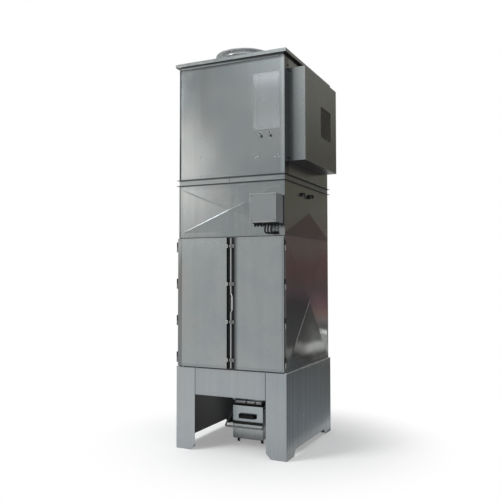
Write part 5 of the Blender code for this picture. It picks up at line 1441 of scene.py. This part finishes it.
# What the front sheets reflect: bright at the left about head height, darker to the right of it.
def frontCard():
    make = Finish("frontCard")
    x, z = make.axis(0), make.axis(2)
    left = make.fall(x, -3.75, -3.05)
    band = make.step(z, 2.0, 2.7) * make.fall(z, 3.4, 4.1)
    right = make.step(x, -2.6, -1.9)
    above = make.step(z, 4.5, 5.1)
    middling = make.step(z, 3.8, 4.1) * make.fall(z, 4.35, 4.8)
    low = make.fall(z, 2.25, 2.6)
    glare = (make.step(z, 2.0, 2.7) * 1.15 + make.step(z, 3.1, 3.6) * 0.72) * make.fall(z, 3.85, 4.35)
    amount = (0.92 + left * glare - left * make.step(z, 3.8, 4.4) * 0.78 - (1.0 - left) * band * 0.20
              + right * above * 0.75 - (1.0 - left) * middling * 0.10 - (1.0 - left) * low * 0.07)
    hue = make.blend(left, (0.99, 1.0, 1.0), (1.06, 1.0, 0.95))
    card(make, [(-9, -6, -0.9), (2.0, -6, -0.9), (2.0, -6, 8), (-9, -6, 8)], make.shade(hue, amount))


# A small bright window high on the left, for the glint along folds and creases.
def sparkCard():
    make = Finish("sparkCard")
    pane = make.shade(make.blend(make.noise(1.5), (1.0, 1.0, 1.0), (0.97, 0.98, 1.0)),
                      studio["spark"] + make.noise(0.9) * 0.2)
    at, aim = Vector((-3.55, -4.14, 4.63)), Vector((0, -0.54, 2.05))
    place = frameTo(at, aim - at)
    corners = ((-0.20, -0.50), (1.05, -0.50), (1.05, 0.34), (-0.20, 0.34))
    card(make, [place @ Vector((u, v, 0)) for u, v in corners], pane)


# What the right side reflects: a dim hall by height with a warm wall in front, a lit streak, a small
# window, a low shelf and a dark corner; and the floor beside the collector.
def sideCard():
    make = Finish("sideCard")
    x, z = make.axis(0), make.axis(2)
    hall = make.ramp(z * 0.2, [(0.0, (0.100, 0.095, 0.090)), (1.0, (0.32, 0.30, 0.265)), (0.07, (0.20, 0.195, 0.185)),
                               (0.14, (0.172, 0.168, 0.158)), (0.19, (0.150, 0.130, 0.135)),
                               (0.24, (0.150, 0.112, 0.118)), (0.30, (0.165, 0.102, 0.098)),
                               (0.35, (0.175, 0.108, 0.098)), (0.40, (0.195, 0.148, 0.136)),
                               (0.46, (0.195, 0.148, 0.138)), (0.51, (0.185, 0.178, 0.145)),
                               (0.62, (0.175, 0.165, 0.130)), (0.70, (0.145, 0.134, 0.108)),
                               (0.84, (0.240, 0.228, 0.198))])
    wall = make.ramp(z * 0.5, [(0.30, (0.180, 0.165, 0.160)), (0.60, (0.165, 0.112, 0.120)),
                               (0.365, (0.33, 0.28, 0.27)), (0.41, (0.36, 0.24, 0.215)),
                               (0.49, (0.27, 0.155, 0.168))])
    byWall = make.fall(x, 1.92, 1.98) * make.step(z, 0.5, 0.6) * make.fall(z, 1.15, 1.3)
    hall = make.blend(byWall, hall, wall)
    slant = z + (x - 2.2) * 0.15 - 0.20
    streak = (make.step(x, 2.00, 2.03) * (1.0 - make.step(x, 2.05, 2.45) * 0.6)
              * make.fall(slant * slant, 0.0002, 0.0110))
    wide, tall = x - 1.79, z - 0.52
    pane = make.fall(wide * wide, 0.0020, 0.0060) * make.fall(tall * tall, 0.0006, 0.0020)
    shelf = make.fall(x, 1.995, 2.025) * make.fall(z, 0.45, 0.49) * make.step(z, 0.0, 0.20)
    corner = make.step(x, 1.92, 2.25) * make.fall(z, 0.9, 1.3)
    drift = make.noise(1.1, 3.0, 0.5)
    amount = (0.86 + drift * 0.28) * (1.0 - corner * 0.42) + streak * 5.0 + pane * 14.0 + shelf * 2.2
    card(make, [(0.95, 5, 0.004), (8, 5, 0.004), (8, 5, 8), (0.95, 5, 8)], make.shade(hall, amount))
    make = Finish("sideFloorCard")
    far = make.step(make.axis(1), 0.6, 3.0) + make.step(make.axis(1), 3.6, 4.6) * 1.8
    tone = make.shade(make.blend(far.least(1.0), (0.92, 1.0, 1.06), (0.98, 1.0, 1.0)), 0.29 - far * 0.06)
    card(make, [(0.62, -0.55, 0.003), (8, -0.55, 0.003), (8, 5, 0.003), (0.62, 5, 0.003)], tone)


makeFloor()
makeWorld()
for name, lamp in studio["lamps"].items():
    softBox(name, *lamp)
frontCard()
sparkCard()
sideCard()
print("studio made")

# The camera that the photo was fitted with.
view = {"at": (2.364, -5.3293, 1.5011), "turn": (math.pi / 2 + 0.0384, 0.0013, 0.4363), "lens": 45.73,
        "sensor": 36.0}
lens = bpy.data.cameras.new("view")
lens.lens, lens.sensor_width = view["lens"], view["sensor"]
camera = bpy.data.objects.new("view", lens)
camera.location, camera.rotation_euler = view["at"], view["turn"]
bpy.context.scene.collection.objects.link(camera)
bpy.context.scene.camera = camera
bpy.context.scene.view_settings.view_transform = "Standard"
